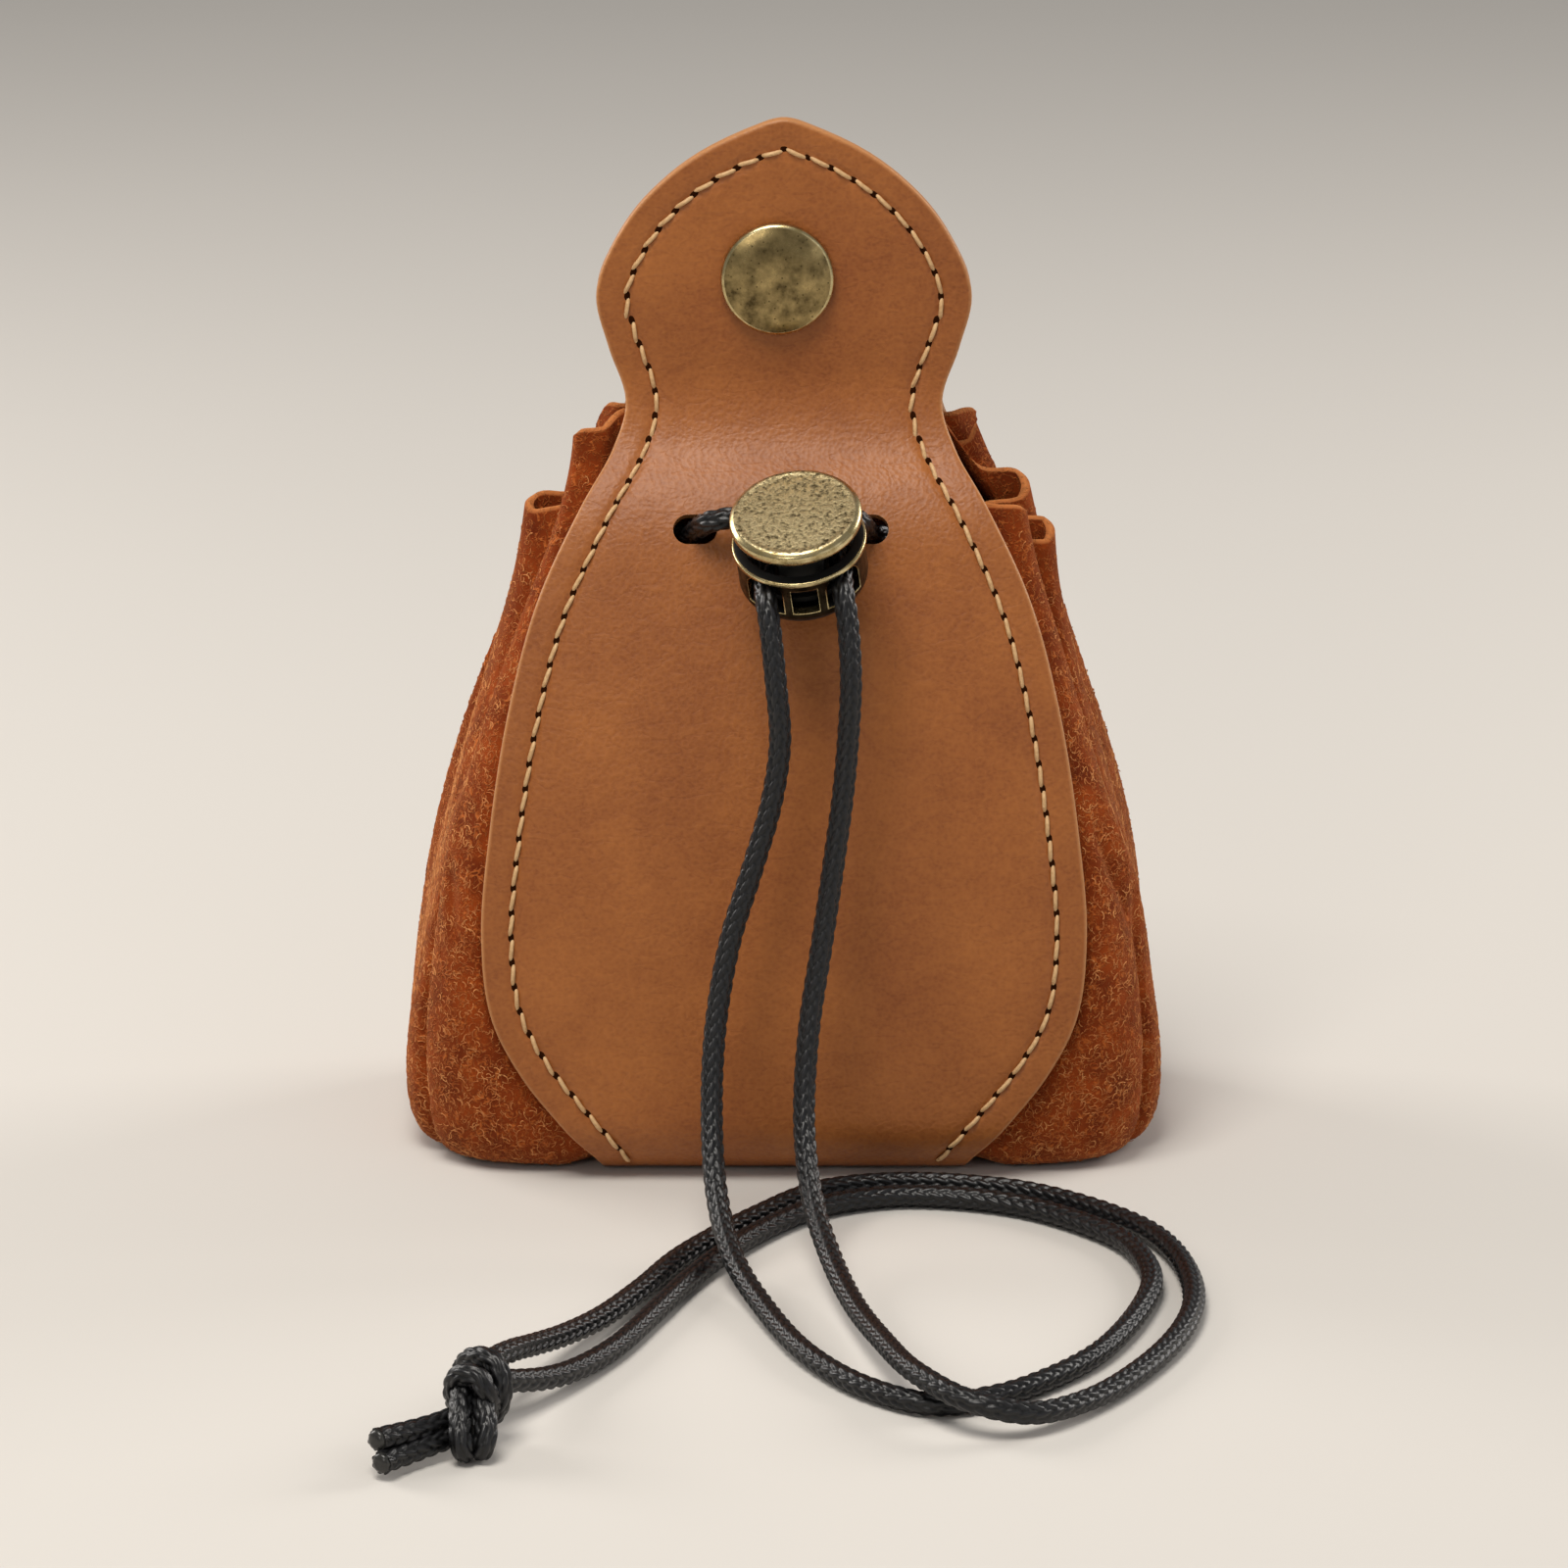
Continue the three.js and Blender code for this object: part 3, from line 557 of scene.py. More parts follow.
@dataclass(frozen=True)
class RoughSuede(Finish):
    """Split leather brushed on its rough side: no gloss, paler curled fibres over a darker ground."""

    name: str = "Rough-out suede, brushed"
    ground: str = "#602208"
    hide: str = "#903D11"
    fibre: str = "#C26A30"
    cut_edge: str = "#B8723F"
    sheen: str = "#F0B27A"
    tuft_mm: float = 1.5
    small_tuft: float = 0.55
    patch_mm: float = 5.0
    fibre_share: float = 0.75

    def paint(self, add: Adder, coords: NodeSocket) -> dict[str, Any]:
        """Draw short curled fibres as broken contours of noise at two sizes, and bare the cut rim.

        Args:
            add: Adds a node to the material.
            coords: The piece's own coordinates.

        Returns:
            The shader's inputs by name.
        """
        strands = []
        for size in (self.tuft_mm, self.small_tuft * self.tuft_mm):
            curls = add(NOISE, {"Vector": coords, "Scale": per_mm(size), "Detail": 1.0, "Distortion": 0.8})
            gaps = add(NOISE, {"Vector": coords, "Scale": per_mm(0.8 * size)})
            kept = add(RANGE, {"Value": gaps, "From Min": 0.42, "From Max": 0.56})
            line = self.contour(add, curls, 1.0, 0.0)
            strands.append(add(MATH, {0: line, 1: kept}, operation="MULTIPLY"))
        fibres = add(MATH, dict(enumerate(strands)), operation="MAXIMUM")
        patches = add(NOISE, {"Vector": coords, "Scale": per_mm(self.patch_mm), "Detail": 4.0})
        brushed = add(RANGE, {"Value": patches, "From Min": 0.3, "From Max": 0.7})
        nap = add(MIX, {0: brushed, 6: linear(self.ground), 7: linear(self.hide)}, data_type="RGBA")
        share = add(MATH, {0: fibres, 1: self.fibre_share}, operation="MULTIPLY")
        raised = add(MIX, {0: share, 6: nap.outputs[2], 7: linear(self.fibre)}, data_type="RGBA")
        rim = add("ShaderNodeAttribute", attribute_name="cut_rim").outputs["Fac"]
        colour = add(MIX, {0: rim, 6: raised.outputs[2], 7: linear(self.cut_edge)}, data_type="RGBA")
        return {
            "Base Color": colour.outputs[2],
            "Normal": add("ShaderNodeBump", {"Height": fibres, "Strength": 0.8, "Distance": 0.0002}),
            "Roughness": 0.95,
            "Specular IOR Level": 0.12,
            "Sheen Weight": 0.25,
            "Sheen Roughness": 0.45,
            "Sheen Tint": linear(self.sheen),
        }


@dataclass(frozen=True)
class AntiqueBrass(Finish):
    """Brass plating darkened in a bath and rubbed back: warm metal, cloudy stains, small dark pits."""

    stain: str
    metal: str
    cloud_mm: float = 2.4
    pit_mm: float = 0.8
    stain_from: float = 0.35
    stain_to: float = 0.65
    rough_low: float = 0.28
    rough_high: float = 0.5
    dent: float = 0.15

    def paint(self, add: Adder, coords: NodeSocket) -> dict[str, Any]:
        """Cloud the plating with stains, pit it, and roughen where it is stained.

        Args:
            add: Adds a node to the material.
            coords: The piece's own coordinates.

        Returns:
            The shader's inputs by name.
        """
        size = per_mm(self.cloud_mm)
        clouds = add(NOISE, {"Vector": coords, "Scale": size, "Detail": 6.0, "Roughness": 0.65})
        stained = add(RANGE, {"Value": clouds, "From Min": self.stain_from, "From Max": self.stain_to})
        pits = add("ShaderNodeTexVoronoi", {"Vector": coords, "Scale": per_mm(self.pit_mm)})
        unpitted = add(RANGE, {"Value": pits, "From Min": 0.08, "From Max": 0.2})
        shine = add(MATH, {0: stained, 1: unpitted}, operation="MULTIPLY")
        colour = add(MIX, {0: shine, 6: linear(self.stain), 7: linear(self.metal)}, data_type="RGBA")
        return {
            "Base Color": colour.outputs[2],
            "Normal": add("ShaderNodeBump", {"Height": shine, "Strength": self.dent, "Distance": 0.0001}),
            "Roughness": add(RANGE, {"Value": shine, "To Min": self.rough_high, "To Max": self.rough_low}),
            "Metallic": 1.0,
        }


@dataclass(frozen=True)
class WaxedBraid(Finish):
    """Black polyester braid with a wax coat, its grooves painted darker than the strands' crowns as painted
    shade.
    """

    name: str = "Waxed polyester braid"
    # Painted shade: the near-black colour put in the grooves between the strands
    groove: str = "#020202"
    strand: str = "#131315"
    wax_mm: float = 1.6

    def paint(self, add: Adder, coords: NodeSocket) -> dict[str, Any]:
        """Paint the grooves between the strands darker than their crowns, as painted shade, and vary the
        wax.

        Args:
            add: Adds a node to the material.
            coords: The piece's own coordinates.

        Returns:
            The shader's inputs by name.
        """
        crown = add("ShaderNodeAttribute", attribute_name="crown").outputs["Fac"]
        # Painted shade: the crown height blends from the groove colour to the strand colour, so the grooves
        # are painted darker
        groove_shade_mask = add(RANGE, {"Value": crown, "From Min": 0.35, "From Max": 0.8})
        colour = add(MIX, {0: groove_shade_mask, 6: linear(self.groove), 7: linear(self.strand)}, data_type="RGBA")
        wax = add(NOISE, {"Vector": coords, "Scale": per_mm(self.wax_mm), "Detail": 3.0})
        return {
            "Base Color": colour.outputs[2],
            "Roughness": add(RANGE, {"Value": wax, "To Min": 0.26, "To Max": 0.48}),
            "Specular IOR Level": 0.42,
        }


@dataclass(frozen=True)
class Plain(Finish):
    """A small part of one even material, with a little cloud in its tone so that it isn't flat."""

    dark: str
    light: str
    cloud_mm: float = 1.0
    rough: float = 0.6
    specular: float = 0.4
    detail: float = 3.0
    dark_at: float = 0.0
    light_at: float = 1.0

    def paint(self, add: Adder, coords: NodeSocket) -> dict[str, Any]:
        """Cloud the tone between its dark and light ends.

        Args:
            add: Adds a node to the material.
            coords: The piece's own coordinates.

        Returns:
            The shader's inputs by name.
        """
        cloud = add(NOISE, {"Vector": coords, "Scale": per_mm(self.cloud_mm), "Detail": self.detail})
        tone = add(RANGE, {"Value": cloud, "From Min": self.dark_at, "From Max": self.light_at})
        colour = add(MIX, {0: tone, 6: linear(self.dark), 7: linear(self.light)}, data_type="RGBA")
        return {
            "Base Color": colour.outputs[2],
            "Roughness": self.rough,
            "Specular IOR Level": self.specular,
        }


LEATHER = SmoothLeather()
SUEDE = RoughSuede()
BRAID = WaxedBraid()
SNAP_BRASS = AntiqueBrass(
    "Antique brass plating, olive", "#4A3E27", "#BAA26E", cloud_mm=3.2, stain_from=0.34, stain_to=0.7,
    rough_low=0.24, rough_high=0.38, dent=0.06,
)
LOCK_BRASS = AntiqueBrass(
    "Antique brass plating, hammered", "#3E3420", "#DAC89A", cloud_mm=0.6, pit_mm=0.7, stain_from=0.36,
    stain_to=0.6, dent=0.3,
)
BRIGHT_BRASS = AntiqueBrass(
    "Antique brass, rubbed bright", "#A08D5E", "#DCCB9C", rough_low=0.2, rough_high=0.32, dent=0.05
)
DARK_BRASS = AntiqueBrass("Antique brass, left dark", "#16120A", "#3A3222", rough_high=0.6)
# Loose ends of the suede's nap: thin, matt and a little paler than the hide, in tufts of different tones
NAP_FIBRE = Plain(
    "Suede nap fibre", "#943F14", "#D8965C", cloud_mm=2.2, rough=0.9, specular=0.15, detail=2.0, dark_at=0.3,
    light_at=0.7,
)
# Twisted linen thread drawn through wax: cream, clouded a little darker and lighter
THREAD = Plain("Waxed linen thread", "#AC7C4C", "#E8C592", cloud_mm=0.5, rough=0.5)
# Needle hole: a flat near-black disc on the leather, painted shade where the hole is
NEEDLE_HOLE_SHADE = Plain("Needle hole, painted shade", "#1A0B04", "#301608", cloud_mm=0.6, rough=1.0, specular=0.0)
# Braid end fused by a flame: dark grey, hard and a little glossy
MELTED = Plain("Melted polyester", "#0C0C0C", "#3C3B38", cloud_mm=1.1, rough=0.25)
# Painted shade inside the lock: near black and matt, on the button's stem and the barrel's inside
LOCK_SHADE = Plain("Painted shade inside the lock", "#050505", "#0E0E0E", rough=0.55)
# Seamless studio paper: pale, matt, plain
PAPER = Plain("Studio paper", "#C9C5BF", "#CDC9C3", cloud_mm=300.0, rough=0.9)


# Leather strap


class Run(NamedTuple):
    """A stretch of the strap in side view: a straight length, or a radius and a turn in degrees."""

    straight: float = 0.0
    radius: float = 0.0
    turn: float = 0.0


class StrapSection(NamedTuple):
    """The strap at a length along it: half its width, and how far its edges fall back."""

    along: float
    half: float
    crown: float


@dataclass
class Strap:
    """The leather strap: front panel, base and back panel in one length, with its slots and snap hole."""

    thick: float = 2.0
    stitch_inset: float = 4.0
    edge_round: float = 0.5
    groove_deep: float = 0.3
    groove_half: float = 0.75
    groove_fade: tuple[float, float] = (-2.0, 1.0)
    seam_start: float = 25.0
    seam_clear: float = 3.9
    seam_step: float = 0.25
    seam_window: int = 25
    slot_along: float = 112.0
    slot_length: float = 5.8
    slot_height: float = 4.0
    slot_sides: int = 48
    slot_places: tuple[float, float] = (-11.6, 10.8)
    cut_in: float = 6.0
    cut_out: float = 3.0
    post_hole: float = 2.35
    post_reach: float = 20.0
    back_short: float = 2.2
    head_start: float = 136.0
    side_step: float = 0.1
    outline_steps: int = 1400
    block: int = 2000
    row_step: float = 1.0
    tip_clear: float = 1.1
    tip_rows: tuple[float, ...] = (0.8, 0.55, 0.35, 0.2, 0.1, 0.04, 0.0)
    middle_columns: int = 22
    edge_columns: tuple[float, ...] = (
        0, 0.06, 0.15, 0.27, 0.42, 0.6, 1.0, 1.9, 2.6, 3.0, 3.3, 3.6, 4.0, 4.4, 4.7, 5.0, 5.6, 6.8,
    )
    most_widening: float = 2.6
    middle_share: float = 1.12
    runs: tuple[Run, ...] = table(
        Run, (19,), (0, 9, 90), (5,), (0, 200, 20), (0, 26, 28), (0, 16.7, -48), (33,)
    )
    sections: tuple[StrapSection, ...] = table(
        StrapSection, (0, 24.0, 0), (19, 24.1, 0), (25.8, 25.0, 0), (31.5, 29.1, 0.2), (38.3, 34.4, 0.8),
        (46, 38.4, 1.6), (57, 39.8, 2.2), (71, 38.7, 2.4), (88, 36.0, 2.2), (102, 32.3, 1.6),
        (115, 26.6, 0.8), (124, 22.4, 0.2), (130, 20.8, 0), (137, 23.0, 0), (144.4, 24.6, 0),
        (152, 21.8, 0), (158, 17.3, 0), (163.5, 10.3, 0), (166.9, 3.0, 0), (167.5, 1.2, 0),
        (167.65, 0.35, 0),
    )
    half: Callable[[Array], Array] = field(init=False)
    crown: Callable[[Array], Array] = field(init=False)
    curve: Array = field(init=False)

    def __post_init__(self) -> None:
        """Work out the side view's curve as fine rows of along, y, z and heading."""
        self.half = smooth_column(self.sections, "along", "half")
        self.crown = smooth_column(self.sections, "along", "crown")
        along, y, z, heading = 0.0, 0.0, 0.0, 0.0
        rows = [(along, y, z, heading)]
        for run in self.runs:
            length = run.straight or run.radius * abs(math.radians(run.turn))
            bend = math.copysign(run.radius, run.turn)
            steps = max(2, round(length / self.side_step))
            for _ in range(steps):
                step = length / steps
                turned_to = heading if run.straight else heading + step / bend
                middle = (heading + turned_to) / 2
                along += step
                y -= step * math.cos(middle)
                z += step * math.sin(middle)
                heading = turned_to
                rows.append((along, y, z, heading))
        self.curve = np.array(rows)

    @property
    def length(self) -> float:
        """Give the length of the front half."""
        return float(self.curve[-1, 0])

    def at(self, along: Array) -> tuple[Array, Array, Array]:
        """Give depth, height and heading of the outer face at a length along the front half."""
        y, z, heading = (np.interp(along, self.curve[:, 0], self.curve[:, i]) for i in (1, 2, 3))
        return y, z, heading

    def along_at(self, height: Array) -> Array:
        """Give the length along the front half at which the outer face reaches a height."""
        rising = self.curve[self.curve[:, 0] >= self.runs[0].straight]
        return np.interp(height, rising[:, 2], rising[:, 0])

    def on_face(self, x: Array, along: Array, inset: Array) -> Array:
        """Give the point of the strap at a place in its flat pattern.

        Args:
            x: Distance from the middle line.
            along: Length along the strap, negative on the back half.
            inset: Depth below the outer face.

        Returns:
            Points in millimetres.
        """
        reach = np.abs(along)
        drawn_in = np.where(along < 0, self.back_short * blend(self.head_start, self.length, reach), 0)
        y, z, heading = self.at(reach - drawn_in)
        across = x / self.half(reach)
        depth = y + self.crown(reach) * across**2 + inset * np.sin(heading)
        return np.stack([x, np.where(along < 0, -depth, depth), z + inset * np.cos(heading)], axis=-1)

    def outward(self, along: Array) -> Array:
        """Find which way the outer face looks.

        Args:
            along: Lengths along the strap, negative on the back half.

        Returns:
            Unit directions.
        """
        _, _, heading = self.at(np.abs(along))
        back = np.where(along < 0, -1.0, 1.0)
        return np.stack([np.zeros_like(heading), -back * np.sin(heading), -np.cos(heading)], axis=-1)

    def outline(self) -> Array:
        """Trace the flat outline of the front half's right edge, with its blunt tip.

        Returns:
            Rows of x and along.
        """
        along = np.linspace(0, self.length, self.outline_steps)
        edge = np.stack([self.half(along), along], axis=1)
        return np.concatenate([edge, [[0.0, self.length]]])

    def edge_distance(self, x: Array, along: Array) -> Array:
        """Measure how far places in the flat pattern are from the strap's cut edge.

        Args:
            x: Distances from the middle line.
            along: Lengths along the strap.

        Returns:
            Distances in the shape of x.
        """
        outline = self.outline()
        start, step = outline[:-1], np.diff(outline, axis=0)
        nearest = np.full(x.size, np.inf)
        places = np.stack([np.abs(x).ravel(), np.abs(along).ravel()], axis=1)
        for block in np.array_split(np.arange(x.size), max(1, x.size // self.block)):
            gap = places[block, None] - start
            share = np.clip((gap * step).sum(-1) / np.maximum((step**2).sum(-1), 1e-12), 0, 1)
            nearest[block] = np.linalg.norm(gap - share[..., None] * step, axis=-1).min(axis=1)
        return nearest.reshape(x.shape)

    def seam(self) -> Array:
        """Draw the right half of a panel's stitch line in the flat pattern, from the tip down to the foot.

        Returns:
            Evenly spaced rows of x and along.
        """
        outline = self.outline()[:-1]
        run = np.gradient(outline, axis=0)
        run /= np.linalg.norm(run, axis=1, keepdims=True)
        line = outline + self.stitch_inset * np.stack([-run[:, 1], run[:, 0]], axis=1)
        clear = self.edge_distance(*line.T) > self.seam_clear
        line = line[(line[:, 0] > 0) & (line[:, 1] > self.seam_start) & clear]
        line = np.concatenate([[[0.0, line[-1, 1]]], line[::-1]])
        length = run_length(line)
        even = np.arange(0, length[-1], self.seam_step)
        eased = np.stack([np.interp(even, length, line[:, axis]) for axis in (0, 1)], axis=1)
        window = np.hanning(self.seam_window) / np.hanning(self.seam_window).sum()
        edge = self.seam_window // 2
        for axis in (0, 1):
            eased[edge:-edge, axis] = np.convolve(eased[:, axis], window, mode="valid")
        return eased

    def slot(self, x: float, margin: float = 0.0) -> Object:
        """Make the cutter of a drawstring slot, square to the front panel.

        Args:
            x: The slot's place across the panel.
            margin: How much larger the cutter is all round.

        Returns:
            The cutter.
        """
        y, z, heading = (float(value) for value in self.at(np.array(self.slot_along)))
        straight = (self.slot_length - self.slot_height) / 2
        turn = np.linspace(-math.pi / 2, 1.5 * math.pi, self.slot_sides, endpoint=False)
        rim = np.stack([np.cos(turn), np.sin(turn)], axis=1) * (self.slot_height / 2 + margin)
        rim[:, 0] += np.where(np.cos(turn) >= -1e-9, straight, -straight)
        up = np.array([0, -math.cos(heading), math.sin(heading)])
        out = np.array([0, -math.sin(heading), -math.cos(heading)])
        flat = np.array([x, y, z]) + rim[:, :1] * np.array([1.0, 0, 0]) + rim[:, 1:] * up
        rings = np.stack([flat - self.cut_in * out, flat + self.cut_out * out])
        return make_piece("slot_cutter", *closed_loft(rings))

    def build(self, snap_frame: Matrix) -> Object:
        """Loft the strap with rounded edges and stitch channel, and cut its slots and snap hole.

        Args:
            snap_frame: The place of the snap, with its axis as +Z.

        Returns:
            The strap.
        """
        front = np.arange(self.row_step, self.length - self.tip_clear, self.row_step)
        along = np.concatenate([front, self.length - np.array(self.tip_rows)])
        along = np.concatenate([-along[::-1], [0.0], along])
        half = self.half(np.abs(along))
        edge = np.array(self.edge_columns)
        # Columns keep their distance from the edge where the outline slants
        widen = np.clip(np.sqrt(1 + np.gradient(half, along) ** 2), 1, self.most_widening)
        inset = edge[None] * np.minimum(widen, half / (self.middle_share * edge[-1]))[:, None]
        inner = half - inset[:, -1]
        middle = np.linspace(-1, 1, self.middle_columns + 1)[1:-1] * inner[:, None]
        x = np.concatenate([inset - half[:, None], middle, (half[:, None] - inset)[:, ::-1]], axis=1)
        rows = np.repeat(along[:, None], x.shape[1], axis=1)
        distance = self.edge_distance(x, rows)
        into = np.clip(self.edge_round - distance, 0, None)
        drop = self.edge_round - np.sqrt(np.maximum(self.edge_round**2 - into**2, 0))
        sewn = blend(*self.groove_fade, np.abs(rows) - self.seam_start)
        off_seam = (distance - self.stitch_inset) / self.groove_half
        groove = self.groove_deep * np.exp(-(off_seam**2)) * sewn
        outer = self.on_face(x, rows, drop + groove)
        inside = self.on_face(x, rows, self.thick - drop)
        rings = np.concatenate([outer, inside[:, ::-1]], axis=1)
        piece = make_piece("leather_strap", *closed_loft(rings))
        edges = np.concatenate([distance, distance[:, ::-1]], axis=1).ravel()
        mark(piece, "edge_mm", np.concatenate([edges, [0.0, 0.0]]))
        wide, reach = self.post_hole, self.post_reach
        hole = turned("post_hole", [(0, -reach), (wide, -reach), (wide, reach), (0, reach)])
        hole.data.transform(snap_frame)
        shape(piece, [hole] + [self.slot(x) for x in self.slot_places])
        smooth(piece, 50)
        return piece

    def dress(self, piece: Object, leather: Material) -> None:
        """Give the strap its leather and seat it."""
        coat(piece, leather)
        settle(piece, Body.BAG, Slot.LEATHER, "strap")


# Stitching


@dataclass
class Stitching:
    """The saddle stitching round both panels: a slanted thread between needle holes at each pitch."""

    strap: Strap
    pitch: float = 3.3
    thread_radius: float = 0.3
    thread_end: float = 0.22
    thread_slant: float = 0.15
    thread_rise: float = 0.72
    thread_sunk: float = -0.12
    hole_radius: float = 0.68
    hole_shape: Place = (1.0, 0.72, 0.22)

    def tree(self, sizes: dict[str, Any]) -> NodeTree:
        """Build the tree that sews along a line: a thread at each pitch and, after it, a flat dark disc
        painted as the needle hole's shade.

        Args:
            sizes: The tree's named inputs and their values.

        Returns:
            The tree.
        """
        tree, size = new_tree("sew_along_line", sizes)
        add = partial(add_node, tree)
        curve = add("GeometryNodeMeshToCurve", {"Mesh": size["Geometry"]})
        even = add("GeometryNodeResampleCurve", {"Curve": curve, "Length": size["Pitch"]}, mode="LENGTH")
        ends = {"Start": size["Thread Start"], "Middle": size["Thread Crown"], "End": size["Thread End"]}
        arc = add("GeometryNodeCurveQuadraticBezier", {"Resolution": 9, **ends})
        ring = add("GeometryNodeCurvePrimitiveCircle", {"Resolution": 7, "Radius": size["Thread Radius"]})
        # The thread is thinner where it enters its holes
        place = add("GeometryNodeSplineParameter")
        rest = add(MATH, {0: 1.0, 1: place}, operation="SUBTRACT")
        hump = add(MATH, {0: place, 1: rest}, operation="MULTIPLY")
        taper = add(RANGE, {"Value": hump, "From Max": 0.16, "To Min": 0.6, "To Max": 1.0})
        sweep = {"Curve": arc, "Profile Curve": ring, "Scale": taper, "Fill Caps": True}
        thread = add("GeometryNodeCurveToMesh", sweep)
        # Each needle hole is a flat near-black disc, painted shade where the hole is
        bead = add("GeometryNodeMeshIcoSphere", {"Radius": size["Hole Radius"], "Subdivisions": 2})
        sunk = add("GeometryNodeTransform", {"Geometry": bead, "Scale": self.hole_shape})
        parts = [
            add("GeometryNodeSetMaterial", {"Geometry": part, "Material": size[f"{name} Material"]})
            for part, name in ((thread, "Thread"), (sunk, "Hole"))
        ]
        stitch = add("GeometryNodeJoinGeometry", {0: parts})
        outward = add("GeometryNodeInputNamedAttribute", {"Name": "outward"}, data_type="FLOAT_VECTOR")
        tangent = add("GeometryNodeInputTangent")
        ahead = add("FunctionNodeAlignRotationToVector", {"Vector": tangent}, axis="X")
        aim = {"Rotation": ahead, "Vector": outward}
        upright = add("FunctionNodeAlignRotationToVector", aim, axis="Z", pivot_axis="X")
        last = add("GeometryNodeCurveEndpointSelection", {"Start Size": 0, "End Size": 1})
        inner = add("FunctionNodeBooleanMath", {0: last}, operation="NOT")
        sewn = {"Points": even, "Selection": inner, "Instance": stitch, "Rotation": upright}
        return end_tree(tree, add("GeometryNodeInstanceOnPoints", sewn))

    def build(self, thread: Material, hole: Material) -> Object:
        """Sew both panels along their seams.

        Args:
            thread: The thread's material.
            hole: The material of the needle holes' painted shade.

        Returns:
            All stitches as one piece.
        """
        flat = self.strap.seam()
        sunk = np.full(len(flat), self.strap.groove_deep)
        lines, directions = [], []
        for back, side in ((1, 1), (1, -1), (-1, 1), (-1, -1)):
            along = back * flat[:, 1]
            lines.append(self.strap.on_face(side * flat[:, 0], along, sunk))
            directions.append(self.strap.outward(along))
        piece = make_lines("seam_stitches", lines)
        mark(piece, "outward", np.concatenate(directions))
        pitch, end, slant, low = (
            size * MM for size in (self.pitch, self.thread_end, self.thread_slant, self.thread_sunk)
        )
        sizes = {
            "Pitch": pitch,
            "Thread Start": (end, slant, low),
            "Thread Crown": (pitch / 2, 0.0, self.thread_rise * MM),
            "Thread End": (pitch - end, -slant, low),
            "Thread Radius": self.thread_radius * MM,
            "Hole Radius": self.hole_radius * MM,
            "Thread Material": thread,
            "Hole Material": hole,
        }
        grow(piece, self.tree(sizes), sizes)
        return piece

    def dress(self, piece: Object) -> None:
        """Seat the stitches on the bag."""
        settle(piece, Body.BAG, Slot.LEATHER)


# Suede bag


class BagSection(NamedTuple):
    """Half width of the bag before it is gathered, by share of the way from foot to rim."""

    share: float
    half: float


class Fold(NamedTuple):
    """A fold of the gathered rim and the valley behind it.

    Its back wall stands higher than its front one by the tip, and it runs down to the bag's side at the turn
    in degrees.
    """

    reach: float
    depth: float
    half: float
    top: float
    tip: float
    turn: float
    valley: float = 0.0
    valley_depth: float = 0.0
    valley_top: float = 0.0


class Wrinkle(NamedTuple):
    """A soft ridge, or a crease if its rise is negative, on one side of the bag."""

    side: int
    share: float
    turn: float
    long: float
    wide: float
    lean: float
    rise: float


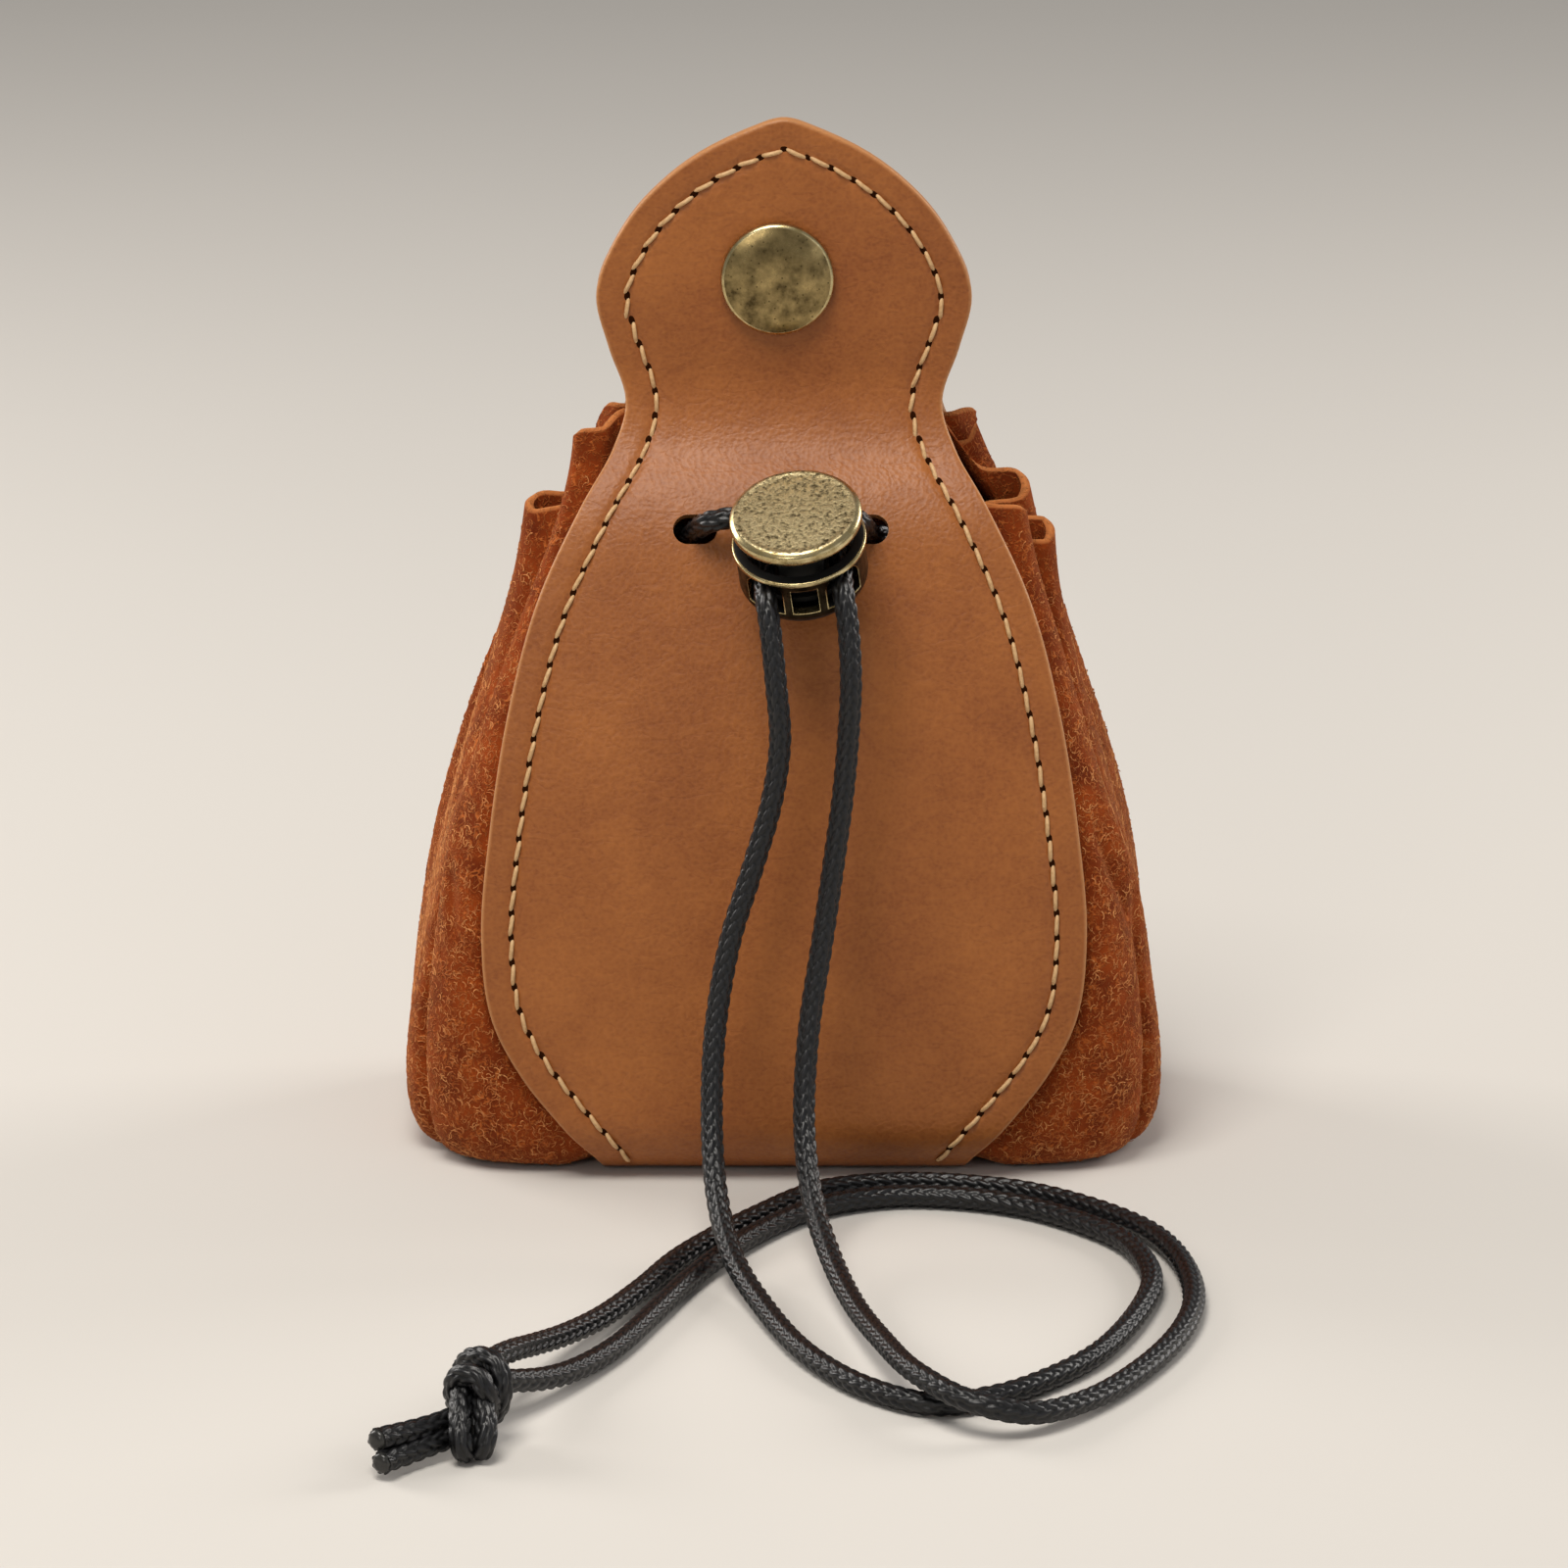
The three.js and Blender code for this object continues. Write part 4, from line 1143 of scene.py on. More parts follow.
@dataclass
class SuedeBag:
    """The soft bag: flat behind the panels, boxy below, drawn into hairpin folds at its mouth."""

    strap: Strap
    thick: float = 1.2
    seat_gap: float = 0.5
    foot: float = 9.0
    front_rim: float = 88.0
    back_rim: float = 99.0
    edge_clear: float = 0.3
    edge_flare: float = 1.4
    free_from_edge: float = 6.0
    fold_fade: float = 4.2
    fold_steps: int = 7
    fold_points: int = 8
    fold_tip: int = 4
    climb: tuple[float, float] = (0.75, 0.95)
    fall: tuple[float, float] = (0.98, 0.9)
    tip_share: float = 0.35
    box_side: float = 0.55
    box_front: float = 0.6
    slot_margin: float = 0.4
    levels: int = 66
    lip_shares: tuple[float, float, float] = (0.985, 0.997, 1.0)
    lip_rise: float = 0.35
    lip_paint: tuple[float, float, float] = (0.5, 1.0, 0.6)
    panel_steps: int = 26
    base_round: float = 4.0
    base_sag: float = 1.9
    sag_beside: tuple[float, float] = (1.0, 8.0)
    base_steps: int = 7
    base_rings: tuple[float, ...] = (0.25, 0.5, 0.75)
    nap_edge: tuple[float, float] = (-1.0, 1.5)
    nap_thin: tuple[float, float] = (0.5, 0.95)
    nap_thinned: float = 0.75
    nap_top: float = 0.965
    sections: tuple[BagSection, ...] = table(
        BagSection, (0, 50.4), (0.25, 48.1), (0.5, 44.6), (0.75, 40.6), (1, 37)
    )
    right_folds: tuple[Fold, ...] = table(
        Fold,
        (31.9, -7.9, 2.0, 86.9, -1.6, 52, 24.5, -5.9, 85),
        (35.8, -3.7, 2.1, 83.0, 2.6, 82, 23.5, -1.6, 84.5),
        (32.6, 0.7, 2.4, 88.0, 3.0, 104, 20.6, 1.6, 97.0),
        (25.5, 4.9, 2.3, 95.2, 4.4, 128),
    )
    left_folds: tuple[Fold, ...] = table(
        Fold,
        (27.8, -2.8, 1.5, 95.6, -1.8, 22, 22.5, -0.8, 92),
        (34.4, 1.4, 2.4, 85.3, 1.6, 84, 20.6, 3.0, 97),
        (23.2, 4.8, 1.8, 97.2, 3.0, 128),
    )
    left_start: Route = ((20.6, -2.4, 98.3),)
    wrinkles: tuple[Wrinkle, ...] = table(
        Wrinkle,
        (-1, 0.1, 57, 0.24, 4.5, 0, -1.8), (-1, 0.08, 72, 0.22, 9, 0, 0.7),
        (1, 0.08, 59, 0.22, 4.5, 0, -1.7), (1, 0.08, 73, 0.2, 9, 0, 0.6),
        (-1, 0.34, 36, 0.07, 6, 160, -1.2), (-1, 0.4, 46, 0.1, 9, 120, 0.9),
        (1, 0.42, 34, 0.1, 6, -150, -1.3), (1, 0.48, 48, 0.12, 10, -110, 1.1),
        (1, 0.36, 66, 0.14, 12, -60, 1.0), (-1, 0.56, 70, 0.16, 10, 60, 0.8),
        (-1, 0.25, 110, 0.3, 14, 40, 1.0), (1, 0.3, 115, 0.3, 14, -50, 1.0),
        (-1, 0.12, 124, 0.25, 5, 0, -1.4), (1, 0.12, 123, 0.25, 5, 0, -1.4),
    )
    bag_half: Callable[[Array], Array] = field(init=False)

    def __post_init__(self) -> None:
        """Prepare the bag's width curve."""
        self.bag_half = smooth_column(self.sections, "share", "half")

    def room(self, x: Array, height: Array) -> Array:
        """Measure the depth from the middle to the inside of either panel, less the seating gap.

        Args:
            x: Distances from the middle line.
            height: Heights.

        Returns:
            Depths.
        """
        along = self.strap.along_at(height)
        y, _, heading = self.strap.at(along)
        across = np.minimum(np.abs(x) / self.strap.half(along), 1)
        wall = (self.strap.thick + self.seat_gap) / np.sin(heading)
        return -y - self.strap.crown(along) * across**2 - wall

    def seam(self, height: Array) -> Array:
        """Give half the width of the stretch that lies flat behind a panel."""
        return self.strap.half(self.strap.along_at(height)) - self.strap.stitch_inset

    def rim(self, folds: Sequence[Fold], start: Route) -> Array:
        """Draw the gathered rim of one side in plan, from the front seam to the back seam.

        Args:
            folds: The side's folds, front to back.
            start: Places behind the strap that the rim passes before its first fold.

        Returns:
            Rows of x, y and height, fine enough for smooth bends.
        """
        seams = []
        for back, height in ((-1, np.array(self.front_rim)), (1, np.array(self.back_rim))):
            seam = self.seam(height)
            seams.append((float(seam), back * float(self.room(seam, height)), float(height)))
        points, last = [seams[0], *start], seams[1]
        for fold in folds:
            before = points[-1]
            after = (fold.valley, fold.valley_depth, fold.valley_top) if fold.valley else last
            root, bend = fold.reach - fold.half, fold.half * math.sqrt(0.5)
            near, far = fold.depth - fold.half, fold.depth + fold.half
            low, high = fold.top - fold.tip / 2, fold.top + fold.tip / 2
            points += [
                ((before[0] + root) / 2, near, before[2] + self.climb[0] * (low - before[2])),
                (root, near, before[2] + self.climb[1] * (low - before[2])),
                (root + bend, fold.depth - bend, fold.top - self.tip_share * fold.tip),
                (fold.reach, fold.depth, fold.top),
                (root + bend, fold.depth + bend, fold.top + self.tip_share * fold.tip),
                (root, far, after[2] + self.fall[0] * (high - after[2])),
                ((after[0] + root) / 2, far, after[2] + self.fall[1] * (high - after[2])),
                after,
            ]
        line = np.array(points)
        ends = np.concatenate([[2 * line[0] - line[1]], line, [2 * line[-1] - line[-2]]])
        share = np.linspace(0, 1, self.fold_steps, endpoint=False)[None, :, None]
        p0, p1, p2, p3 = (ends[i : i + len(line) - 1, None] for i in range(4))
        curve = p1 + share * (p2 - p0) / 2
        curve = curve + share**2 * (p0 - 2.5 * p1 + 2 * p2 - 0.5 * p3)
        curve = curve + share**3 * (1.5 * (p1 - p2) + 0.5 * (p3 - p0))
        return np.concatenate([curve.reshape(-1, 3), line[-1:]])

    def side(self, share: float, folds: Sequence[Fold], start: Route, mirror: int) -> Array:
        """Give one side of the bag at a share of its height, from the front seam to the back seam.

        Args:
            share: Share of the way from foot to rim.
            folds: The side's folds, front to back.
            start: Places behind the strap that the rim passes before its first fold.
            mirror: 1 for the right side, -1 for the left.

        Returns:
            Rows of x, y and height.
        """
        rim = self.rim(folds, start)
        firsts = [len(start) + self.fold_points * number for number in range(len(folds) + 1)]
        tips = [0, *(first + self.fold_tip for first in firsts[:-1]), firsts[-1]]
        columns = np.linspace(0, tips[-1], len(rim))
        gathered = share**self.fold_fade
        turn = np.radians(np.interp(columns, tips, [0.0, *(fold.turn for fold in folds), 180.0]))
        height = self.foot + share * (rim[:, 2] - self.foot)
        seam = self.seam(height)
        room = self.room(seam, height)
        plain_x = seam + (self.bag_half(np.array(share)) - seam) * np.sin(turn).clip(0) ** self.box_side
        plain_y = -room * np.sign(np.cos(turn)) * np.abs(np.cos(turn)) ** self.box_front
        x = plain_x + gathered * (rim[:, 0] - plain_x)
        y = plain_y + gathered * (rim[:, 1] - plain_y)
        past_edge = np.maximum(x - seam - self.strap.stitch_inset - self.edge_clear, 0)
        limit = self.room(x, height) + self.edge_flare * past_edge
        y = np.clip(y, -limit, limit)
        x[[0, -1]] = seam[[0, -1]]
        y[[0, -1]] = -room[0], room[-1]
        rise = np.zeros(len(rim))
        degrees = np.degrees(turn)
        for wrinkle in self.wrinkles:
            if wrinkle.side == mirror:
                up = (share - wrinkle.share) / wrinkle.long
                over = (degrees - wrinkle.turn - wrinkle.lean * (share - wrinkle.share)) / wrinkle.wide
                rise += wrinkle.rise * np.exp(-(up**2) - over**2)
        out = np.stack([np.sin(turn), -np.cos(turn)], axis=1)
        free = blend(0, self.free_from_edge, x - seam - self.strap.stitch_inset)
        moved = np.stack([x, y], axis=1) + out * (rise * free)[:, None]
        return np.column_stack([mirror * moved[:, 0], moved[:, 1], height])

    def panel(self, share: float, rim_height: float, back: int) -> Array:
        """Give the flat stretch behind one panel, without its seams.

        Args:
            share: Share of the bag's height.
            rim_height: Height of the rim at this panel.
            back: 1 for the back panel, -1 for the front.

        Returns:
            Rows of x, y and height.
        """
        height = np.array(self.foot + share * (rim_height - self.foot))
        x = float(self.seam(height)) * np.linspace(-1, 1, self.panel_steps + 1)[1:-1]
        return np.column_stack([x, back * self.room(x, height), np.full(len(x), height)])

    def wall(self, share: float) -> Array:
        """Give the outer face at a share of the bag's height.

        Args:
            share: Share of the way from foot to rim.

        Returns:
            A ring of points, anticlockwise from above.
        """
        right = self.side(share, self.right_folds, (), 1)
        left = self.side(share, self.left_folds, self.left_start, -1)
        front = self.panel(share, self.front_rim, -1)
        behind = self.panel(share, self.back_rim, 1)
        return np.concatenate([front, right, behind[::-1], left[::-1]])

    def base(self, tuck: float) -> Array:
        """Give a ring of the rounded base, which sags to the floor beside the strap.

        Args:
            tuck: The angle by which the foot is drawn in and down.

        Returns:
            A ring of points.
        """
        ring = self.wall(0.0)
        past_strap = np.abs(ring[:, 0]) - float(self.strap.half(np.array(0.0)))
        beside = blend(*self.sag_beside, past_strap)
        drop = self.foot - self.strap.thick - self.seat_gap + self.base_sag * beside
        inset = self.base_round * (1 - math.cos(tuck))
        ring[:, 0] *= 1 - inset / float(self.bag_half(np.array(0.0)))
        ring[:, 1] *= 1 - inset / float(self.room(np.array(0.0), np.array(self.foot)))
        ring[:, 2] = self.foot - drop * math.sin(tuck)
        return ring

    def lined(self, ring: Array, tuck: float) -> Array:
        """Give the inner face of a ring.

        Args:
            ring: A ring of the outer face.
            tuck: The angle by which the base turns in there.

        Returns:
            The ring moved in by the suede's thickness, and up where the base turns in.
        """
        step = np.roll(ring, -1, axis=0) - np.roll(ring, 1, axis=0)
        inward = np.stack([-step[:, 1], step[:, 0]], axis=1)
        inward /= np.maximum(np.linalg.norm(inward, axis=1, keepdims=True), 1e-9)
        lift = np.column_stack([inward * math.cos(tuck), np.full(len(ring), math.sin(tuck))])
        return ring + self.thick * lift

    def shares(self) -> Array:
        """Give the shares of the height where the wall has rings, with one close under the rim."""
        top, lip, rim = self.lip_shares
        return np.concatenate([np.linspace(0, top, self.levels - 2), [lip, rim]])

    def outer_rings(self) -> tuple[Array, Array]:
        """Stack the rings of the outer face.

        Returns:
            The rings from the middle of the base to the rim, and each ring's tuck.
        """
        tucks = np.linspace(math.pi / 2, 0, self.base_steps + 1)[:-1]
        flat = self.base(math.pi / 2)
        rings = [flat * (share, share, 1) for share in self.base_rings]
        rings += [self.base(tuck) for tuck in tucks]
        rings += [self.wall(share) for share in self.shares()]
        angles = np.concatenate([[math.pi / 2] * len(self.base_rings), tucks, np.zeros(self.levels)])
        return np.array(rings), angles

    def build(self) -> Object:
        """Loft the hollow bag with a rounded cut rim, and cut the drawstring's two slots.

        Returns:
            The bag.
        """
        outer, tucks = self.outer_rings()
        inner = np.array([self.lined(ring, tuck) for ring, tuck in zip(outer, tucks)])
        lip = (outer[-1:] + inner[-1:]) / 2 + (0, 0, self.lip_rise)
        rings = np.concatenate([outer, lip, inner[::-1]])
        piece = make_piece("suede_bag", *closed_loft(rings))
        rim = np.zeros(rings.shape[:2])
        rim[len(outer) - 1 : len(outer) + 2] = np.array(self.lip_paint)[:, None]
        mark(piece, "cut_rim", np.concatenate([rim.ravel(), [0.0, 0.0]]))
        shape(piece, [self.strap.slot(x, self.slot_margin) for x in self.strap.slot_places])
        smooth(piece, 60)
        return piece

    def nap_ground(self, mirror: int) -> Object:
        """Give the bare outer face of one side for the nap to grow on, with how far it is exposed.

        Args:
            mirror: 1 for the right side, -1 for the left.

        Returns:
            The face.
        """
        outer, _ = self.outer_rings()
        wall = outer[len(self.base_rings) :]
        strip = wall[:, wall[..., 0].mean(axis=0) * mirror > 0]
        name = f"suede_nap_{'right' if mirror > 0 else 'left'}"
        piece = make_piece(name, strip.reshape(-1, 3), grid_faces(*strip.shape[:2], closed=False))
        half = self.strap.half(self.strap.along_at(strip[..., 2]))
        seen = blend(*self.nap_edge, np.abs(strip[..., 0]) - half)
        share = np.concatenate([np.zeros(self.base_steps), self.shares()])[:, None]
        seen = seen * (1 - self.nap_thinned * blend(*self.nap_thin, share)) * (share < self.nap_top)
        mark(piece, "exposed", seen.ravel())
        return piece

    def dress(self, piece: Object, suede: Material, nap: Sequence[Object]) -> None:
        """Give the bag its suede and seat it with its nap.

        Args:
            piece: The bag.
            suede: Its material.
            nap: The fibres that stand on it.
        """
        coat(piece, suede)
        settle(piece, Body.BAG, Slot.SUEDE, "suede_body")
        for fibres in nap:
            settle(fibres, Body.BAG, Slot.SUEDE)


@dataclass
class Nap:
    """Curled fibres brushed up from the suede's rough face."""

    density: float = 1.6
    arc_radius: float = 0.36
    fibre_radius: float = 0.085
    sweep_deg: float = 150.0
    lean: float = 0.08
    smallest: Place = (0.6, 0.4, 0.7)
    largest: Place = (1.7, 1.0, 1.0)
    seed: int = 7

    def tree(self, sizes: dict[str, Any]) -> NodeTree:
        """Build the tree that scatters curls over the exposed suede, turned and sized at random.

        Args:
            sizes: The tree's named inputs and their values.

        Returns:
            The tree.
        """
        tree, size = new_tree("brush_up_nap", sizes)
        add = partial(add_node, tree)
        exposed = add("GeometryNodeInputNamedAttribute", {"Name": "exposed"}, data_type="FLOAT")
        density = add(MATH, {0: exposed, 1: size["Density"]}, operation="MULTIPLY")
        ground = {"Mesh": size["Geometry"], "Density": density, "Seed": size["Seed"]}
        points = add("GeometryNodeDistributePointsOnFaces", ground)
        bend = {"Resolution": 5, "Radius": size["Arc Radius"], "Sweep Angle": size["Sweep"]}
        arc = add("GeometryNodeCurveArc", bend)
        ring = add("GeometryNodeCurvePrimitiveCircle", {"Resolution": 3, "Radius": size["Fibre Radius"]})
        fibre = add("GeometryNodeCurveToMesh", {"Curve": arc, "Profile Curve": ring})
        low, high = (-self.lean, -self.lean, 0.0), (self.lean, self.lean, math.tau)
        spans = ((low, high), (self.smallest, self.largest))
        draw = partial(add, "FunctionNodeRandomValue", data_type="FLOAT_VECTOR")
        lean, scale = (draw({0: least, 1: most, "Seed": size["Seed"]}) for least, most in spans)
        leaning = add("FunctionNodeEulerToRotation", {0: lean})
        turns = {"Rotation": points.outputs["Rotation"], "Rotate By": leaning}
        curl = add("FunctionNodeRotateRotation", turns, rotation_space="LOCAL")
        spread = {"Points": points, "Instance": fibre, "Rotation": curl, "Scale": scale}
        return end_tree(tree, add("GeometryNodeInstanceOnPoints", spread), size["Material"])

    def build(self, bag: SuedeBag, material: Material) -> list[Object]:
        """Grow the nap of both sides.

        Args:
            bag: The bag that it stands on.
            material: The fibres' material.

        Returns:
            One piece for each side.
        """
        sizes = {
            "Density": self.density / MM**2,
            "Arc Radius": self.arc_radius * MM,
            "Fibre Radius": self.fibre_radius * MM,
            "Sweep": math.radians(self.sweep_deg),
            "Seed": self.seed,
            "Material": material,
        }
        tree = self.tree(sizes)
        sides = []
        for mirror in (-1, 1):
            piece = bag.nap_ground(mirror)
            grow(piece, tree, {**sizes, "Seed": self.seed + mirror})
            sides.append(piece)
        return sides


# Snap fastener


@dataclass
class Snap:
    """The snap: a domed cap on the front head and a plate behind the back head."""

    strap: Strap
    x: float = -0.85
    height: float = 117.2
    cap_radius: float = 7.45
    plate_radius: float = 6.0
    plate_thick: float = 1.1
    collar_radius: float = 5.0
    pin_radius: float = 2.0
    seat_gap: float = 0.04
    face_gap: float = 0.3
    shoulder: float = 0.55

    def frame(self) -> Matrix:
        """Give the matrix that turns +Z out of the front head at the snap."""
        turn = Matrix.Rotation(math.pi / 2, 4, "X")
        return Matrix.Translation(Vector((self.x, 0, self.height)) * MM) @ turn

    def build(self) -> tuple[Object, Object]:
        """Turn the cap and the post.

        Returns:
            The cap and the post with its plate.
        """
        face = -float(self.strap.at(np.array(self.strap.length))[0])
        seat = face + self.seat_gap
        inner = face - self.strap.thick - self.face_gap
        wide, plate, pin, collar = self.cap_radius, self.plate_radius, self.pin_radius, self.collar_radius
        cap = turned("snap_cap_dome", [
            (0, seat), (wide - 0.5, seat), (wide, seat + 0.3, 0.3), (wide, seat + 1.45, 0.8),
            (wide - 1.3, seat + 1.9, 0.7), (wide - 3.6, seat + 2.34, 1.6), (0.4, seat + 2.5),
            (0, seat + 2.5),
        ])
        far = -seat - self.plate_thick
        post = turned("snap_post_plate", [
            (0, far), (plate - 2.2, far, 0.5), (plate, -seat - 0.75, 0.35), (plate, -seat), (pin, -seat),
            (pin, -inner), (collar, -inner), (collar, inner), (pin, inner), (pin, face), (0, face),
        ])
        for piece in (cap, post):
            piece.data.transform(self.frame())
            smooth(piece, 38)
        return cap, post

    def dress(self, cap: Object, post: Object, brass: Material, bright: Material) -> None:
        """Give the snap its brass, rubbed bright round the cap's shoulder, and seat it.

        Args:
            cap: The cap.
            post: The post with its plate.
            brass: Finish of the plating.
            bright: Finish of the shoulder.
        """
        for piece, node in ((cap, "snap_cap"), (post, "snap_post")):
            coat(piece, brass, bright)
            settle(piece, Body.BAG, Slot.BRASS, node)
        for face in cap.data.polygons:
            radius = math.hypot(face.center.x / MM - self.x, face.center.z / MM - self.height)
            face.material_index = int(radius > self.cap_radius - self.shoulder)


# Cord lock


@dataclass
class CordLock:
    """The round cord lock: a sprung button in a barrel with arched cord windows."""

    top: Place = (1.4, -28.5, 92.2)
    tilt_deg: float = 27.0
    roll_deg: float = -7.0
    button_radius: float = 8.6
    button_thick: float = 1.9
    stem_radius: float = 6.6
    stem_bottom: float = -3.5
    web_half: float = 2.9
    web_reach: float = 5.4
    web_overlap: float = 0.2
    foot_radius: float = 6.2
    foot_top: float = -9.3
    foot_bottom: float = -10.1
    barrel_top: float = -4.7
    ring_high: float = 0.7
    ring_radius: float = 8.75
    barrel_radius: float = 8.4
    bore: float = 7.1
    floor: float = -12.4
    bottom: float = -13.1
    base_radius: float = 6.6
    chamfer: float = 1.8
    cord_height: float = -7.4
    cord_spread: float = 5.0
    window_radius: float = 2.15
    sill: float = -10.2
    slot_half: float = 1.7
    slot_top: float = -6.4
    cut_reach: float = 20.0
    edge_soft: float = 0.12
    rim_wide: float = 0.7
    near: float = 0.1
    close: float = 0.05
    skin: float = 0.12
    square: float = 0.02

    def frame(self) -> Matrix:
        """Give the lock's place.

        Returns:
            A matrix with +Z up the axis from the top of the button.
        """
        turn = Matrix.Rotation(math.radians(self.roll_deg), 4, "Y")
        turn = turn @ Matrix.Rotation(math.radians(self.tilt_deg), 4, "X")
        return Matrix.Translation(Vector(self.top) * MM) @ turn

    def on_cord(self, side: int, depth: float) -> Array:
        """Give a place on the cord on one side of the lock, in millimetres."""
        local = Vector((side * self.cord_spread, depth, self.cord_height)) * MM
        return np.array(self.frame() @ local) / MM

    def prism(self, name: str, outline: Array, near: float, far: float) -> Object:
        """Make a shape from an outline of x and z, between two depths along Y."""
        rings = [np.insert(outline, 1, depth, axis=1) for depth in (near, far)]
        return make_piece(name, *closed_loft(np.array(rings)))

    def box(self, half: float, low: float, high: float) -> Array:
        """Give the outline of an upright box by half its width and its two heights."""
        return np.array([(-half, low), (half, low), (half, high), (-half, high)])

    def window(self, x: float) -> Object:
        """Make the cutter of one cord's arched window, front to back.

        Args:
            x: The cord's place across the lock.

        Returns:
            The cutter.
        """
        turn = np.linspace(0, math.pi, 25)
        arch = np.stack([np.cos(turn), np.sin(turn)], axis=1) * self.window_radius + (x, self.cord_height)
        foot = [(x - self.window_radius, self.sill), (x + self.window_radius, self.sill)]
        return self.prism("window_cutter", np.concatenate([arch, foot]), self.cut_reach, -self.cut_reach)

    def build_button(self) -> Object:
        """Turn the button's cap and stem, with the web between the cords and the foot below them.

        Returns:
            The button.
        """
        wide, under, stem = self.button_radius, -self.button_thick, self.stem_radius
        cap = turned("lock_button_cap", [
            (0, self.stem_bottom), (stem, self.stem_bottom), (stem, under), (wide - 0.3, under, 0.2),
            (wide, under + 0.5, 0.4), (wide, -0.55, 0.5), (wide - 0.75, -0.02, 0.5),
            (wide - 1.5, -0.12, 0.3), (3.0, 0.0), (0, 0.0),
        ])
        bar = self.box(self.web_half, self.foot_bottom, self.stem_bottom + self.web_overlap)
        web = self.prism("lock_web", bar, self.web_reach, -self.web_reach)
        wide, low, high = self.foot_radius, self.foot_bottom, self.foot_top
        foot = turned("lock_foot", [(0, low), (wide, low), (wide, high), (0, high)])
        shape(cap, [web, foot], "UNION")
        smooth(cap, 35)
        return cap

    def build_barrel(self) -> Object:
        """Turn the barrel and cut its windows and front slot.

        Returns:
            The barrel.
        """
        wide, ring, top, step = self.barrel_radius, self.ring_radius, self.barrel_top, self.ring_high
        barrel = turned("lock_barrel_cup", [
            (0, self.bottom), (self.base_radius, self.bottom, 0.5), (wide, self.bottom + self.chamfer, 0.9),
            (wide, top - step), (ring, top - step, 0.3), (ring, top, 0.3), (self.bore, top, 0.25),
            (self.bore, self.floor), (0, self.floor),
        ])
        opening = self.box(self.slot_half, self.sill, self.slot_top)
        slot = self.prism("slot_cutter", opening, 0, -self.cut_reach)
        shape(barrel, [self.window(-self.cord_spread), self.window(self.cord_spread), slot])
        return barrel

    def dress_button(self, button: Object, hammered: Material, bright: Material, lock_shade: Material) -> None:
        """Give the button's top and rim their finishes, paint its hidden stem near black as painted shade,
        and seat it.

        Args:
            button: The button.
            hammered: Finish of the top.
            bright: Finish of the rubbed rim.
            lock_shade: Painted shade on the stem below the cap, near black.
        """
        coat(button, hammered, bright, lock_shade)
        for face in button.data.polygons:
            radius = math.hypot(face.center.x, face.center.y) / MM
            # Faces below the cap are painted near black, as painted shade in the gap under the button
            hidden = face.center.z / MM < -self.button_thick - self.close
            face.material_index = 2 if hidden else int(radius > self.button_radius - self.rim_wide)
        button.data.transform(self.frame())
        settle(button, Body.LOCK_BUTTON, Slot.BRASS, "lock_button")

    def dress_barrel(self, barrel: Object, dark: Material, bright: Material, lock_shade: Material) -> None:
        """Give the barrel its finishes, with its cut edges softened and rubbed bright and its inside painted
        near black as painted shade, and seat it.

        Args:
            barrel: The barrel.
            dark: Finish of the outer wall.
            bright: Finish of the cut edges.
            lock_shade: Painted shade on the inside, near black.
        """
        coat(barrel, dark, bright, lock_shade)
        under_ring = self.barrel_top - self.ring_high
        for face in barrel.data.polygons:
            radius = math.hypot(face.center.x, face.center.y) / MM
            height = face.center.z / MM
            # The barrel's inside is painted near black, as painted shade
            inside = radius < self.barrel_radius - self.skin and height > self.floor - self.near
            on_rim = radius > self.barrel_radius + self.close and height > under_ring
            # Only the windows' and the slot's own faces stand square to the line of sight through them
            on_cut = abs(face.normal.y) < self.square and radius > self.bore - 2 * self.near
            on_cut = on_cut and self.sill - self.near < height < under_ring - self.close
            face.material_index = 1 if on_rim or on_cut else 2 * int(inside)
        soften = barrel.modifiers.new("soft_edges", "BEVEL")
        soften.width = self.edge_soft * MM
        soften.segments = 2
        soften.limit_method = "ANGLE"
        soften.angle_limit = math.radians(50)
        soften.use_clamp_overlap = False
        soften.material = 1
        apply_modifiers(barrel)
        smooth(barrel, 35)
        barrel.data.transform(self.frame())
        settle(barrel, Body.BAG, Slot.BRASS, "lock_barrel")


# Drawstring


